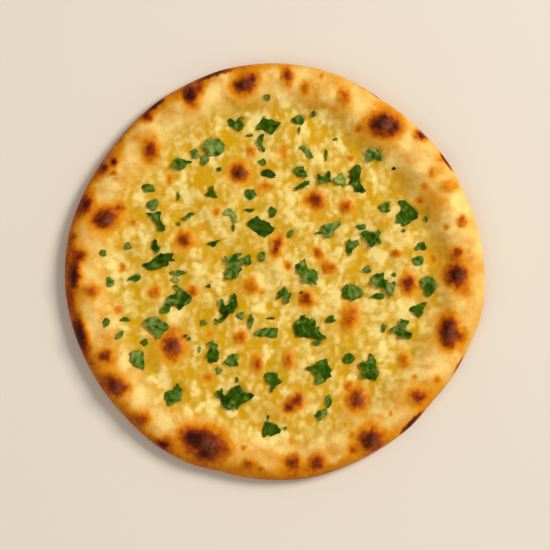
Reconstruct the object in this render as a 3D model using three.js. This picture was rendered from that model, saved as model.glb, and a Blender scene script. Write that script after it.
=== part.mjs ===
// A round naan bread with chopped herb leaves lying on it.
// Millimetres, +Z up. The bread rests on z = 0, and the origin is the middle of its flat underside.
import * as THREE from "three";
import { mergeVertices } from "three/addons/utils/BufferGeometryUtils.js";

// Bread
const BREAD_DIAMETER = 233; // mean, across the rim
const MIDDLE_HEIGHT = 8.6; // the flat middle of the bread
const RIM_HEIGHT = 14; // the crown of the puffed rim
const RIM_INSET = 13; // from the edge in to the crown
const RIM_WIDTH = 31; // from the edge in to the foot of the rim's inner slope
const EDGE_HEIGHT = 5.6; // where the bread is widest
const UNDERSIDE_INSET = 12; // from the edge in to where the underside meets the table
const EDGE_WAVE = 0.9; // how far the outline wanders from a circle
const TOP_WAVE = 0.55; // how far the top rises and falls between its blisters

// Herbs
const LEAF_THICKNESS = 0.9; // a crumpled leaf, taken as a plate
const LEAF_CLEARANCE = 0.4; // under a leaf, over the highest thing it lies on
const LEAF_EDGE_POINTS = 14;

// Fineness of the bread's mesh
const SECTORS = 96;
const ARC_STEPS = 6; // in each quarter round of the edge
const RIM_STEPS = 6; // down the rim's inner slope
const MIDDLE_STEPS = 17;

// The tables give places on a bread this wide. They move out or in with the bread's own width.
const DRAWN_DIAMETER = 233;
const SPREAD = BREAD_DIAMETER / DRAWN_DIAMETER;

// Blisters: middle x and y, width along x, length along y, rise.
const BLISTERS = [
  [-69, 68, 11, 15, 1.6], [-92, 58, 13, 12, 1.5], [-46, 99, 11, 14, 1.9], [-16, 105, 16, 12, 1.9],
  [-19, 55, 13, 12, 1.8], [7, 109, 9, 12, 1.2], [39, 97, 10, 14, 1.4], [61, 82, 20, 17, 2.6],
  [82, 76, 9, 8, 1.2], [97, 47, 12, 9, 1.2], [105, 28, 8, 9, 1.0], [101, 9, 9, 9, 1.0],
  [102, -2, 16, 17, 2.2], [75, -7, 12, 15, 2.0], [98, -34, 15, 22, 2.6], [73, -50, 10, 11, 1.6],
  [80, -71, 13, 12, 1.8], [54, -94, 17, 15, 2.4], [46, -72, 14, 15, 2.2], [12, -74, 14, 13, 2.0],
  [10, -107, 11, 10, 1.6], [24, -107, 11, 10, 1.6], [-14, -108, 11, 9, 1.3], [-40, -97, 24, 20, 3.0],
  [-74, -82, 13, 11, 1.6], [-88, -64, 14, 16, 2.2], [-107, -35, 10, 26, 2.0], [-110, -2, 10, 20, 2.0],
  [-102, -11, 11, 10, 1.4], [-105, 37, 9, 11, 1.6], [-94, 29, 18, 14, 2.4], [-57, -42, 15, 18, 2.2],
  [-67, -12, 10, 9, 1.3], [-19, -37, 10, 10, 1.4], [-10, -52, 9, 13, 1.5], [-13, -9, 11, 12, 1.6],
  [18, -15, 10, 11, 1.6], [42, -27, 13, 18, 1.9], [8, -50, 9, 13, 1.6], [-50, 18, 12, 12, 1.8],
  [1, 14, 10, 14, 1.8], [24, 40, 11, 12, 1.8], [40, 36, 11, 11, 1.5], [31, 2, 10, 10, 1.4],
  [68, 10, 9, 8, 1.4], [-13, 67, 8, 9, 1.3],
];

// Herb leaves: name, middle x and y, width along x, length along y, turn in degrees, lobes, notch depth.
const LEAVES = [
  ["herb_fork_01", -22, 83, 10, 8, 20, 2, 0.55], ["herb_curl_01", -3, 82, 15, 10.5, 150, 5, 0.25],
  ["herb_shred_01", -8, 72, 5, 11, 80, 2, 0.3], ["herb_fan_01", -34, 70, 12, 12.5, 90, 5, 0.2],
  ["herb_bit_01", -45, 66, 5.5, 6, 40, 3, 0.3], ["herb_fan_02", -52, 60, 12.5, 7.5, 160, 4, 0.25],
  ["herb_bit_02", 13, 85, 8, 6, 10, 3, 0.35], ["herb_shred_02", 18, 67, 8.5, 9, 135, 3, 0.3],
  ["herb_fan_03", 56, 65, 10, 8.5, 90, 4, 0.3], ["herb_bit_03", -71, 46.5, 7.5, 5, 0, 3, 0.25],
  ["herb_bit_04", -68.5, 37, 7, 7, 60, 4, 0.25], ["herb_shred_03", -66, 28, 10, 11.5, 130, 4, 0.3],
  ["herb_bit_05", -3, 54, 8.5, 5, 5, 3, 0.2], ["herb_wedge_01", -35, 44, 7.5, 8, 90, 3, 0.3],
  ["herb_bit_06", -13, 43, 7, 6.5, 30, 4, 0.2], ["herb_shred_04", -49, 30.5, 8, 5, 30, 3, 0.3],
  ["herb_bit_07", -24.5, 31, 8, 8.5, 70, 2, 0.4], ["herb_curl_02", -7, 25, 15, 13, 40, 5, 0.25],
  ["herb_fan_04", 15, 55.4, 8, 6.8, 90, 4, 0.25], ["herb_fan_05", 15.5, 47.6, 9, 6, 0, 4, 0.25],
  ["herb_fan_06", 27.4, 52, 8.4, 8.5, 45, 4, 0.25], ["herb_bit_08", 36.6, 51, 7.4, 8, 80, 3, 0.25],
  ["herb_curl_03", 46.6, 51, 9.8, 16, 110, 5, 0.3], ["herb_bit_09", 62, 36, 7.5, 7, 30, 3, 0.2],
  ["herb_fan_07", 32, 23, 12, 10.5, 20, 5, 0.25], ["herb_curl_04", 54.6, 19, 13, 13, 60, 6, 0.3],
  ["herb_fan_08", 43, 13, 8.6, 10.5, 120, 4, 0.3], ["herb_shred_05", -67, 14, 5, 8.6, 100, 3, 0.3],
  ["herb_curl_05", -64, 4.6, 19, 10, 25, 5, 0.25], ["herb_bit_10", -78.4, -4, 7.6, 5.5, 10, 3, 0.2],
  ["herb_bit_11", -34, 15, 8, 4.5, 0, 3, 0.2], ["herb_curl_06", -21, 3, 16, 16, 75, 6, 0.3],
  ["herb_curl_07", 18, 0.6, 13, 15, 95, 5, 0.3], ["herb_wedge_02", 75, 32, 12.5, 15, 90, 5, 0.15],
  ["herb_bit_12", 81, 6.4, 7.5, 8, 60, 4, 0.2], ["herb_curl_08", -54, -15, 17.5, 14, 0, 6, 0.3],
  ["herb_curl_09", -66, -32, 14, 13, 45, 6, 0.25], ["herb_curl_10", -27, -21.4, 13.4, 16, 80, 6, 0.35],
  ["herb_shred_06", -12.6, -28.5, 4.5, 9.5, 90, 2, 0.25], ["herb_wedge_03", -4, -35.6, 14, 6, 10, 3, 0.15],
  ["herb_fan_09", 5.4, -13.6, 8, 10.5, 90, 4, 0.25], ["herb_wedge_04", 44, -12, 12.5, 9.5, 15, 4, 0.15],
  ["herb_curl_11", 61.5, -8, 14, 14.4, 30, 6, 0.3], ["herb_wedge_05", 87, -9, 10, 12, 90, 5, 0.15],
  ["herb_wedge_06", 81, -21.4, 10, 8.4, 210, 3, 0.25], ["herb_curl_12", 70.4, -33, 12.5, 12.6, 0, 6, 0.3],
  ["herb_curl_13", 20, -31.4, 17.4, 14, 15, 7, 0.3], ["herb_bit_13", -87, -36, 5.5, 5.5, 45, 4, 0.2],
  ["herb_wedge_07", -77, -50, 8.5, 11.5, 90, 3, 0.2], ["herb_shred_07", -34, -45, 6.5, 13, 95, 3, 0.25],
  ["herb_bit_14", -24, -50.6, 8.5, 8, 30, 4, 0.2], ["herb_fan_10", -1, -62, 10, 11.5, 90, 5, 0.2],
  ["herb_curl_14", 25, -56, 14, 15, 180, 5, 0.25], ["herb_fan_11", 53, -54, 12, 16, 90, 5, 0.2],
  ["herb_fork_02", -57, -70, 9, 11, 90, 2, 0.5], ["herb_curl_15", -22, -71, 22, 14.5, 0, 7, 0.35],
  ["herb_wedge_08", -2, -89, 10.5, 9, 20, 4, 0.15], ["herb_shred_08", 30, -73, 5, 7.4, 80, 2, 0.3],
  ["herb_bit_15", 26, -81, 7.5, 7, 50, 4, 0.2],
];

const crust = new THREE.MeshStandardMaterial({ color: 0xe7bd63, roughness: 0.75, metalness: 0 });
const leafGreen = new THREE.MeshStandardMaterial({ color: 0x3c6e18, roughness: 0.6, metalness: 0 });

// Radius of the bread's edge in a direction. A hand-stretched round is a little fuller on some sides.
function edgeRadius(angle) {
  const wander = -0.8 * Math.sin(angle) + 0.7 * Math.cos(4 * angle - 0.35) + 0.5 * Math.sin(3 * angle + 2.2) +
    0.35 * Math.cos(7 * angle + 1);
  return BREAD_DIAMETER / 2 + EDGE_WAVE * wander;
}

// Height of the smooth bread, without blisters, this far in from its edge.
function smoothHeight(inset) {
  if (inset < RIM_INSET) {
    const out = 1 - inset / RIM_INSET;
    return EDGE_HEIGHT + (RIM_HEIGHT - EDGE_HEIGHT) * Math.sqrt(Math.max(0, 1 - out * out));
  }
  const down = Math.min(1, (inset - RIM_INSET) / (RIM_WIDTH - RIM_INSET));
  return RIM_HEIGHT - (RIM_HEIGHT - MIDDLE_HEIGHT) * (1 - Math.cos(Math.PI * down)) / 2;
}

// Rise of the top over the smooth bread: gentle swells, and the tallest blister at that place.
function topRise(x, y) {
  const swell = Math.sin(x / 9.5 + 0.6) * Math.cos(y / 11 - 0.4) + 0.6 * Math.sin((x + y) / 6.5 + 1.1);
  let blister = 0;
  for (const [middleX, middleY, width, length, rise] of BLISTERS) {
    const across = (x - middleX * SPREAD) / (width / 2);
    const along = (y - middleY * SPREAD) / (length / 2);
    const share = Math.max(0, 1 - across * across - along * along);
    blister = Math.max(blister, rise * share * (2 - share));
  }
  return TOP_WAVE * swell + blister;
}

// Half of the bread's section, from the middle of its underside round the edge to the middle of its top.
function breadProfile() {
  const radius = BREAD_DIAMETER / 2;
  const points = [new THREE.Vector2(0, 0)];
  for (let i = 0; i <= ARC_STEPS; i++) {
    const turn = (Math.PI / 2) * (i / ARC_STEPS);
    points.push(new THREE.Vector2(
      radius - UNDERSIDE_INSET * (1 - Math.sin(turn)),
      EDGE_HEIGHT * (1 - Math.cos(turn)),
    ));
  }
  for (let i = 1; i <= ARC_STEPS; i++) {
    const inset = RIM_INSET * (1 - Math.cos((Math.PI / 2) * (i / ARC_STEPS)));
    points.push(new THREE.Vector2(radius - inset, smoothHeight(inset)));
  }
  for (let i = 1; i <= RIM_STEPS; i++) {
    const inset = RIM_INSET + (RIM_WIDTH - RIM_INSET) * (i / RIM_STEPS);
    points.push(new THREE.Vector2(radius - inset, smoothHeight(inset)));
  }
  for (let i = 1; i <= MIDDLE_STEPS; i++)
    points.push(new THREE.Vector2((radius - RIM_WIDTH) * (1 - i / MIDDLE_STEPS), MIDDLE_HEIGHT));
  return points;
}

// The section turned into a round, with its shared points merged, then pushed to the wandering outline
// and, over the widest point, up to the blistered top.
function breadGeometry() {
  const turned = new THREE.LatheGeometry(breadProfile(), SECTORS).rotateX(Math.PI / 2);
  turned.deleteAttribute("uv");
  turned.deleteAttribute("normal");
  const geometry = mergeVertices(turned, 1e-3);
  const place = geometry.getAttribute("position");
  const roundRadius = BREAD_DIAMETER / 2;
  for (let i = 0; i < place.count; i++) {
    const radius = Math.hypot(place.getX(i), place.getY(i));
    const stretch = edgeRadius(Math.atan2(place.getY(i), place.getX(i))) / roundRadius;
    const x = place.getX(i) * stretch;
    const y = place.getY(i) * stretch;
    const isTop = place.getZ(i) > EDGE_HEIGHT;
    const fade = isTop ? Math.min(1, (roundRadius - radius) / (RIM_INSET / 3)) : 0;
    place.setXYZ(i, x, y, place.getZ(i) + fade * topRise(x, y));
  }
  geometry.computeVertexNormals();
  return geometry;
}

// A leaf's outline, with rounded lobes and a sharp notch between each two, fitted to its width and length.
function leafOutline(width, length, turn, lobes, notch) {
  const points = [];
  for (let i = 0; i < LEAF_EDGE_POINTS; i++) {
    const angle = (2 * Math.PI * i) / LEAF_EDGE_POINTS;
    const reach = 1 - notch * Math.abs(Math.cos((lobes * angle) / 2)) ** 3;
    const pointing = THREE.MathUtils.degToRad(turn) + angle;
    points.push(new THREE.Vector2(reach * Math.cos(pointing), reach * Math.sin(pointing)));
  }
  const box = new THREE.Box2().setFromPoints(points);
  const size = box.getSize(new THREE.Vector2());
  const middle = box.getCenter(new THREE.Vector2());
  return points.map((p) => p.sub(middle).multiply(new THREE.Vector2(width / size.x, length / size.y)));
}

const downwards = new THREE.Raycaster();
const DOWN = new THREE.Vector3(0, 0, -1);

// Highest surface of these meshes at a place, or minus infinity where there is none.
function heightAt(x, y, meshes) {
  downwards.set(new THREE.Vector3(x, y, 10 * RIM_HEIGHT), DOWN);
  const met = downwards.intersectObjects(meshes, false);
  return met.length ? met[0].point.z : -Infinity;
}

// The way up from the bread under a leaf, from the heights half a leaf away on each side.
function slopeNormal(x, y, reach, bread) {
  const alongX = heightAt(x + reach, y, [bread]) - heightAt(x - reach, y, [bread]);
  const alongY = heightAt(x, y + reach, [bread]) - heightAt(x, y - reach, [bread]);
  return new THREE.Vector3(-alongX, -alongY, 2 * reach).normalize();
}

// Points all over a leaf's underside, on rings that shrink towards its middle.
function undersidePoints(outline) {
  const rings = [1, 0.8, 0.6, 0.4, 0.2];
  const halves = outline.flatMap((p, i) => [p, p.clone().lerp(outline[(i + 1) % outline.length], 0.5)]);
  return rings.flatMap((ring) => halves.map((p) => new THREE.Vector3(p.x * ring, p.y * ring, 0)));
}

// A leaf laid on the bread: tilted with the slope, then raised until it clears all that is under it.
function makeLeaf([name, drawnX, drawnY, width, length, turn, lobes, notch], bread, laid) {
  const outline = leafOutline(width, length, turn, lobes, notch);
  const plate = new THREE.ExtrudeGeometry(new THREE.Shape(outline), {
    depth: LEAF_THICKNESS,
    bevelEnabled: false,
  });
  const leaf = new THREE.Mesh(plate, leafGreen.clone());
  leaf.name = name;
  leaf.position.set(drawnX * SPREAD, drawnY * SPREAD, 0);
  const reach = Math.min(width, length) / 2;
  const up = slopeNormal(leaf.position.x, leaf.position.y, reach, bread);
  leaf.quaternion.setFromUnitVectors(new THREE.Vector3(0, 0, 1), up);
  leaf.updateMatrixWorld(true);
  const near = laid.filter((other) => other.position.distanceTo(leaf.position) < 40);
  const needs = undersidePoints(outline).map((p) => {
    const at = leaf.localToWorld(p);
    return heightAt(at.x, at.y, [bread, ...near]) - at.z;
  });
  leaf.position.z += Math.max(...needs) + LEAF_CLEARANCE;
  leaf.updateMatrixWorld(true);
  return leaf;
}

function makeNaan() {
  const naan = new THREE.Group();
  const bread = new THREE.Mesh(breadGeometry(), crust);
  bread.name = "naan_bread";
  bread.updateMatrixWorld(true);
  naan.add(bread);
  const laid = [];
  for (const row of LEAVES) laid.push(makeLeaf(row, bread, laid));
  for (const leaf of laid) naan.add(leaf);
  return naan;
}

export default makeNaan();
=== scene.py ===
"""A round naan with melted cheese, butter, browned blisters and chopped herbs, laid out as an add-on
and run as a script. Lengths in the tables are millimetres and Blender's own are metres, +Z up."""

import math

import bpy
import numpy as np
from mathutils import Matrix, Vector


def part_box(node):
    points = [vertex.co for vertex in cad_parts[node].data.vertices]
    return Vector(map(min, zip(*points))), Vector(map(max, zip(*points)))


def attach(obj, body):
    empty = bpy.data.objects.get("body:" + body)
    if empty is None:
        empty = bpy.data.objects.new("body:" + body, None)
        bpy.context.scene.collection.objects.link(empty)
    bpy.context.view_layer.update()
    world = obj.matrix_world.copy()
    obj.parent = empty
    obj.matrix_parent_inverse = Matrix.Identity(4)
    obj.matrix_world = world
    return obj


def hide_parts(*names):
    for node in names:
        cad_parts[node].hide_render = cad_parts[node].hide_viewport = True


bl_info = {
    "name": "Naan Bread",
    "version": (1, 0, 0),
    "blender": (4, 5, 0),
    "location": "3D View > Sidebar > Naan",
    "description": "Bakes a round naan with its cheese, blisters and chopped herbs",
    "category": "Add Mesh",
}

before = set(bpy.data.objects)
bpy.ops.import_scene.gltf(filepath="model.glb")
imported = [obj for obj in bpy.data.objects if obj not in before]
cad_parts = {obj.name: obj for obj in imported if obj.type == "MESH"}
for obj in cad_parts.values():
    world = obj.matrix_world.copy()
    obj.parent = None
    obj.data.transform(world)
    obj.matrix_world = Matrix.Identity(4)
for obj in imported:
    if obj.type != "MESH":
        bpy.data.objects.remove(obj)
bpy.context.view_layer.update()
BREAD_LOW, BREAD_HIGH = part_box("naan_bread")

MM = 0.001
BODY = "root"
CAD_WIDTH_MM = (BREAD_HIGH.x - BREAD_LOW.x) / MM
DRAWN_WIDTH_MM = 234.2  # the tables give places on a bread this wide
SPREAD = CAD_WIDTH_MM / DRAWN_WIDTH_MM

# The edge seen from above: direction in degrees, distance from the middle.
RIM_OUTLINE = [
    (0, 117.9), (14, 116.7), (21, 115.6), (31, 115.1), (44, 113.9), (58, 113.4), (71, 115.6), (77, 116.2),
    (90, 116.7), (105, 116.7), (116, 115.6), (124, 115.6), (131, 115.1), (140, 114.3), (150, 114.8),
    (161, 116.2), (169, 117.3), (184, 117.9), (198, 117.6), (208, 117.3), (226, 117.3), (236, 118.4),
    (246, 118.4), (255, 116.7), (263, 117.3), (280, 117.9), (287, 117.3), (294, 116.7), (303, 116.2),
    (311, 116.2), (320, 115.1), (327, 116.2), (334, 116.7), (339, 117.3), (345, 118.4), (351, 119.0),
    (360, 117.9),
]

# How brown the outer edge is, by direction, from 0 to 1. Partly real browning and partly painted shade:
# higher on the left and bottom, which face away from the key lamp.
EDGE_BROWNING_AND_SHADE = [
    (0, 0.12), (30, 0.15), (60, 0.2), (85, 0.35), (100, 0.55), (130, 0.75), (165, 0.85), (190, 0.9),
    (215, 0.7), (245, 0.65), (280, 0.6), (310, 0.4), (335, 0.2), (360, 0.12),
]

# Burnt stretches of the edge: from and to in degrees, width in from the edge, strength from 0 to 1.
BURNT_EDGE = [
    (98, 117, 4.4, 1.0), (121, 131, 3.6, 1.0), (131, 150, 1.5, 0.9), (158, 194, 1.5, 0.9),
    (198, 250, 1.6, 0.9), (278, 290, 1.6, 0.7), (305, 318, 3.8, 1.0), (329, 337, 2.4, 0.8),
    (347, 356, 1.6, 0.6), (28, 38, 2.4, 1.0), (38, 54, 0.8, 0.8), (54, 73, 1.5, 1.0),
]

# Browned spots: middle x and y, width, length, turn in degrees, darkness from 0 to 1.
SPOTS = [
    (-71, 86, 5, 5, 0, 0.8), (-69, 68, 9.5, 14, 0, 0.65), (-90, 61, 4.5, 5, 0, 1.0),
    (-96, 58, 4.5, 4.5, 0, 0.8), (-90, 55, 3.5, 3.5, 0, 0.6), (-47, 98, 8, 12, 10, 0.95),
    (-42, 102, 5, 6, 0, 0.5), (-17, 104, 12.5, 9.5, 25, 0.95), (-12, 108, 5, 5, 0, 0.6),
    (-13, 67, 5, 6, 0, 0.45), (-19.5, 55, 10, 9.5, 0, 0.85), (7, 109, 6, 10, 0, 0.7),
    (17, 102, 6, 7, 0, 0.45), (26, 109, 4, 4, 0, 0.25), (39, 97, 7.5, 12.5, 20, 0.45),
    (60, 82.5, 15, 13, 0, 1.0), (66, 80, 9, 9, 0, 0.8), (47, 79.5, 4, 3.5, 0, 0.45),
    (43, 63, 4.5, 4.5, 0, 0.35), (82, 76, 6, 5, -30, 0.85), (93, 61.5, 3.5, 3.5, 0, 0.3),
    (88, 55, 4.5, 6, 0, 0.4), (97, 47, 9.5, 7, 0, 0.35), (84, 47, 5.5, 5.5, 0, 0.3),
    (81, 39.5, 5, 5.5, 0, 0.4), (105, 28, 5.5, 6, 0, 0.5), (96, 25, 4.5, 3.5, 0, 0.35),
    (68, 10, 7, 4.5, 0, 0.45), (102, 10, 5.5, 6.5, 0, 0.65), (89, 7, 5, 5, 0, 0.4),
    (102, -2, 12.5, 13.5, 0, 0.95), (107, -12, 8, 7, 0, 0.3), (75, -7, 8.5, 12, 0, 0.65),
    (97, -34, 10, 18, 0, 1.0), (104, -37, 7, 8, 0, 0.45), (72.5, -50, 7, 8.5, 0, 0.45),
    (78, -60, 4, 4, 0, 0.25), (91, -61, 5.5, 5, 0, 0.35), (80, -70.5, 10, 10, 0, 0.65),
    (65, -80, 3.5, 3.5, 0, 0.3), (54, -94, 13.5, 12.5, 0, 0.95), (44, -100, 6, 5, 0, 0.4),
    (46.5, -72, 11, 12.5, 0, 0.75), (13, -72, 8, 8, 0, 0.7), (8, -76, 7, 7, 0, 0.6),
    (10, -107, 9, 9, 0, 0.7), (24, -107, 9, 9, 0, 0.65), (-14, -108, 8.5, 7.5, 0, 0.45),
    (-8, -111, 3.5, 3.5, 0, 0.4), (-40, -95, 22, 13, -6, 1.0), (-37, -101, 14, 12, 0, 1.0),
    (-46, -93, 10, 9, 0, 0.95), (-26, -100, 5, 5, 0, 0.25), (-18, -99, 3.5, 3.5, 0, 0.3),
    (-62, -97, 7.5, 6, 0, 0.9), (-74, -82, 10.5, 8, 0, 0.5), (-89, -64, 10, 13.5, 30, 0.85),
    (-83, -65, 5, 6, 0, 0.5), (-94.5, -48, 9, 8, 0, 0.75), (-109, -35, 7, 25, 16, 0.9),
    (-112, -3, 7, 16, 0, 0.9), (-109, 8.5, 7, 7, 0, 0.7), (-102, -11, 9, 8, 0, 0.5),
    (-112.5, 18.6, 4.5, 4.5, 0, 0.4), (-105, 37, 7, 8.5, 0, 0.8), (-95, 29, 15, 11.5, 20, 0.9),
    (-87, 36, 6, 6, 0, 0.4), (-79, 27, 4.5, 4.5, 0, 0.3), (-85, 2, 5, 5, 0, 0.35),
    (-67, -12, 8, 7, 0, 0.4), (-88, -22, 5, 5, 0, 0.4), (-97, -26.5, 3, 9, 0, 0.2),
    (-57, -42, 12, 16, 0, 0.75), (-46.5, -12, 7, 7, 0, 0.5), (-19, -37, 7.5, 8, 0, 0.5),
    (-10, -52, 6, 10.5, 0, 0.5), (-13, -9, 8.5, 10, 20, 0.4), (-6.5, -12, 3, 3, 0, 0.3),
    (-36, -35.5, 4.5, 5.5, 0, 0.3), (-37, -60, 7, 5, 0, 0.35), (18, -15.5, 7.5, 9, 0, 0.65),
    (42, -26.5, 10, 16, -15, 0.45), (8, -50, 6, 10, 0, 0.45), (-50.5, 17.5, 9.5, 9.5, 0, 0.65),
    (1.4, 14, 7, 12, -15, 0.65), (-33, 33, 5, 5.5, 0, 0.35), (-40, 24, 5, 4, 0, 0.2),
    (-5, 47, 11, 6, 10, 0.35), (-59, 51, 4, 7, 0, 0.35), (24, 39.5, 8, 10, 0, 0.65),
    (18, 39.5, 6, 7, 0, 0.35), (40, 36, 8.5, 8.5, 0, 0.45), (24, 10, 5, 8, 35, 0.5),
    (31, 2, 8, 7, 0, 0.45), (7.6, 3, 3.5, 6, 0, 0.45), (5, 67, 6, 9, 0, 0.25),
    (41, -64, 4.5, 4.5, 0, 0.4), (39, -86, 3.5, 3.5, 0, 0.3), (43, -92, 4, 4, 0, 0.3),
    (9, -95, 4, 4, 0, 0.25),
]

# Patches soaked with butter, a deeper ochre, partly painted shade in the hollows and on the rim's inner
# slope: middle x and y, width, length, turn, strength.
BUTTER_AND_SHADE_PATCHES = [
    (-17, 94, 24, 11, 0, 0.7), (28, 94, 30, 12, 0, 0.8), (51, 72, 34, 12, 0, 0.8),
    (-66, -47, 12, 19, 0, 0.95), (0, -78, 18, 11, 0, 0.6), (-48, 5, 28, 8, 0, 0.5),
    (-19, -8, 12, 8, 0, 0.7), (38, -80, 14, 10, 0, 0.5), (88, 34, 18, 24, 0, 0.7),
    (91, 8, 13, 30, 0, 0.8), (87, -18, 13, 22, 0, 0.5), (74, 50, 20, 16, 0, 0.7),
    (-80, 10, 14, 20, 0, 0.4), (20, -92, 26, 9, 0, 0.4), (-56, -60, 12, 14, 0, 0.4),
    (58, 28, 12, 10, 0, 0.4), (-4, 36, 16, 8, 0, 0.35), (-44, -26, 14, 10, 0, 0.35),
    (56, -38, 12, 10, 0, 0.35), (-30, 58, 14, 8, 0, 0.3), (84, -41, 12, 14, 0, 0.6),
    (72, -56, 12, 8, 0, 0.4), (44, -100, 10, 8, 0, 0.5), (92, 45, 16, 14, 0, 0.5),
]

# Pale patches and streaks of thicker cheese or bare dough: middle x and y, width, length, turn, strength.
CREAM_PATCHES = [
    (-50, 46, 5, 19, 15, 0.9), (-61, 77, 13, 9, 0, 0.7), (-34, 101, 9, 12, 0, 0.7),
    (-55, 95, 7, 10, 0, 0.6), (-93, 48, 12, 8, 0, 0.8), (-89, 3, 16, 13, 0, 0.8),
    (-44, 2.4, 4.5, 4.5, 0, 1.0), (-10, 84, 10, 8, 0, 0.6), (6, 95, 5, 16, 40, 0.9),
    (28, 86, 4.5, 11, 20, 0.9), (38, 70, 4, 15, 35, 0.8), (49, 93, 12, 8, 0, 0.7),
    (18, 112, 16, 6, 0, 0.6), (26, 64, 6, 6, 0, 0.8), (56, 50, 4, 15, 15, 0.8),
    (50, 44, 3.5, 12, 20, 0.6), (104, 37, 12, 12, 0, 0.8), (115, 18, 6, 24, 0, 0.6),
    (10, 28, 5, 10, 20, 0.7), (-6.3, -5, 9.5, 9.5, 0, 1.0), (-55, -27, 9, 7, 0, 0.9),
    (-8, -21, 7, 5, 0, 0.9), (-44, -68, 7, 11, 0, 0.9), (-65, -61, 12, 8, 0, 0.8),
    (-76, -70, 12, 10, 0, 0.7), (-84, -52, 9, 9, 0, 0.6), (-64, -83, 19, 9, -25, 0.7),
    (-83, -32, 8, 6, 0, 0.7), (-106, -21, 6, 9, 0, 0.5), (-4.4, -46, 7, 9, 0, 0.6),
    (-4, -96, 13, 8, 0, 0.6), (49, -19, 10, 8, 0, 0.8), (56, -35, 10, 10, 0, 0.5),
    (60.5, -41, 4.5, 8, 0, 1.0), (75, -42, 16, 6, 0, 0.7), (79, -58, 14, 8, 0, 0.6),
    (69, -81, 15, 10, 30, 0.7), (57.5, -78, 8, 6, 0, 0.6), (44, -60, 7, 5, 0, 0.7),
    (25, -98, 10, 7, 0, 0.7), (11, -93, 13, 5, 0, 0.6), (99, -50, 10, 12, -20, 0.7),
    (91, -23, 8, 6, 0, 0.6), (24, -23, 8, 5, 0, 0.7), (2, -44, 7, 7, 0, 0.5), (-74, 41, 9, 9, 0, 0.6),
    (-72, 22, 8, 12, 0, 0.5), (-30, 22, 9, 8, 0, 0.5), (-22, 84, 9, 8, 0, 0.4), (60, 8, 8, 8, 0, 0.4),
    (36, 12, 7, 6, 0, 0.5), (-36, -78, 12, 8, 0, 0.4), (-100, 20, 8, 6, 0, 0.3), (14, -38, 7, 6, 0, 0.4),
    (40, -48, 8, 6, 0, 0.4), (-34, 64, 8, 8, 0, 0.4),
]

# Blisters that stand up from the dough: middle x and y, width, length, rise.
BLISTERS = [
    (-69, 68, 11, 15, 1.6), (-92, 58, 13, 12, 1.5), (-46, 99, 11, 14, 1.9), (-16, 105, 16, 12, 1.9),
    (-19, 55, 13, 12, 1.8), (7, 109, 9, 12, 1.2), (39, 97, 10, 14, 1.4), (61, 82, 20, 17, 2.6),
    (82, 76, 9, 8, 1.2), (97, 47, 12, 9, 1.2), (105, 28, 8, 9, 1.0), (101, 9, 9, 9, 1.0),
    (102, -2, 16, 17, 2.2), (75, -7, 12, 15, 2.0), (98, -34, 15, 22, 2.6), (73, -50, 10, 11, 1.6),
    (80, -71, 13, 12, 1.8), (54, -94, 17, 15, 2.4), (46, -72, 14, 15, 2.2), (12, -74, 14, 13, 2.0),
    (10, -107, 11, 10, 1.6), (24, -107, 11, 10, 1.6), (-14, -108, 11, 9, 1.3), (-40, -97, 24, 20, 3.0),
    (-74, -82, 13, 11, 1.6), (-88, -64, 14, 16, 2.2), (-107, -35, 10, 26, 2.0), (-110, -2, 10, 20, 2.0),
    (-102, -11, 11, 10, 1.4), (-105, 37, 9, 11, 1.6), (-94, 29, 18, 14, 2.4), (-57, -42, 15, 18, 2.2),
    (-67, -12, 10, 9, 1.3), (-19, -37, 10, 10, 1.4), (-10, -52, 9, 13, 1.5), (-13, -9, 11, 12, 1.6),
    (18, -15, 10, 11, 1.6), (42, -27, 13, 18, 1.9), (8, -50, 9, 13, 1.6), (-50, 18, 12, 12, 1.8),
    (1, 14, 10, 14, 1.8), (24, 40, 11, 12, 1.8), (40, 36, 11, 11, 1.5), (31, 2, 10, 10, 1.4),
    (68, 10, 9, 8, 1.4), (-13, 67, 8, 9, 1.3),
]

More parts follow.
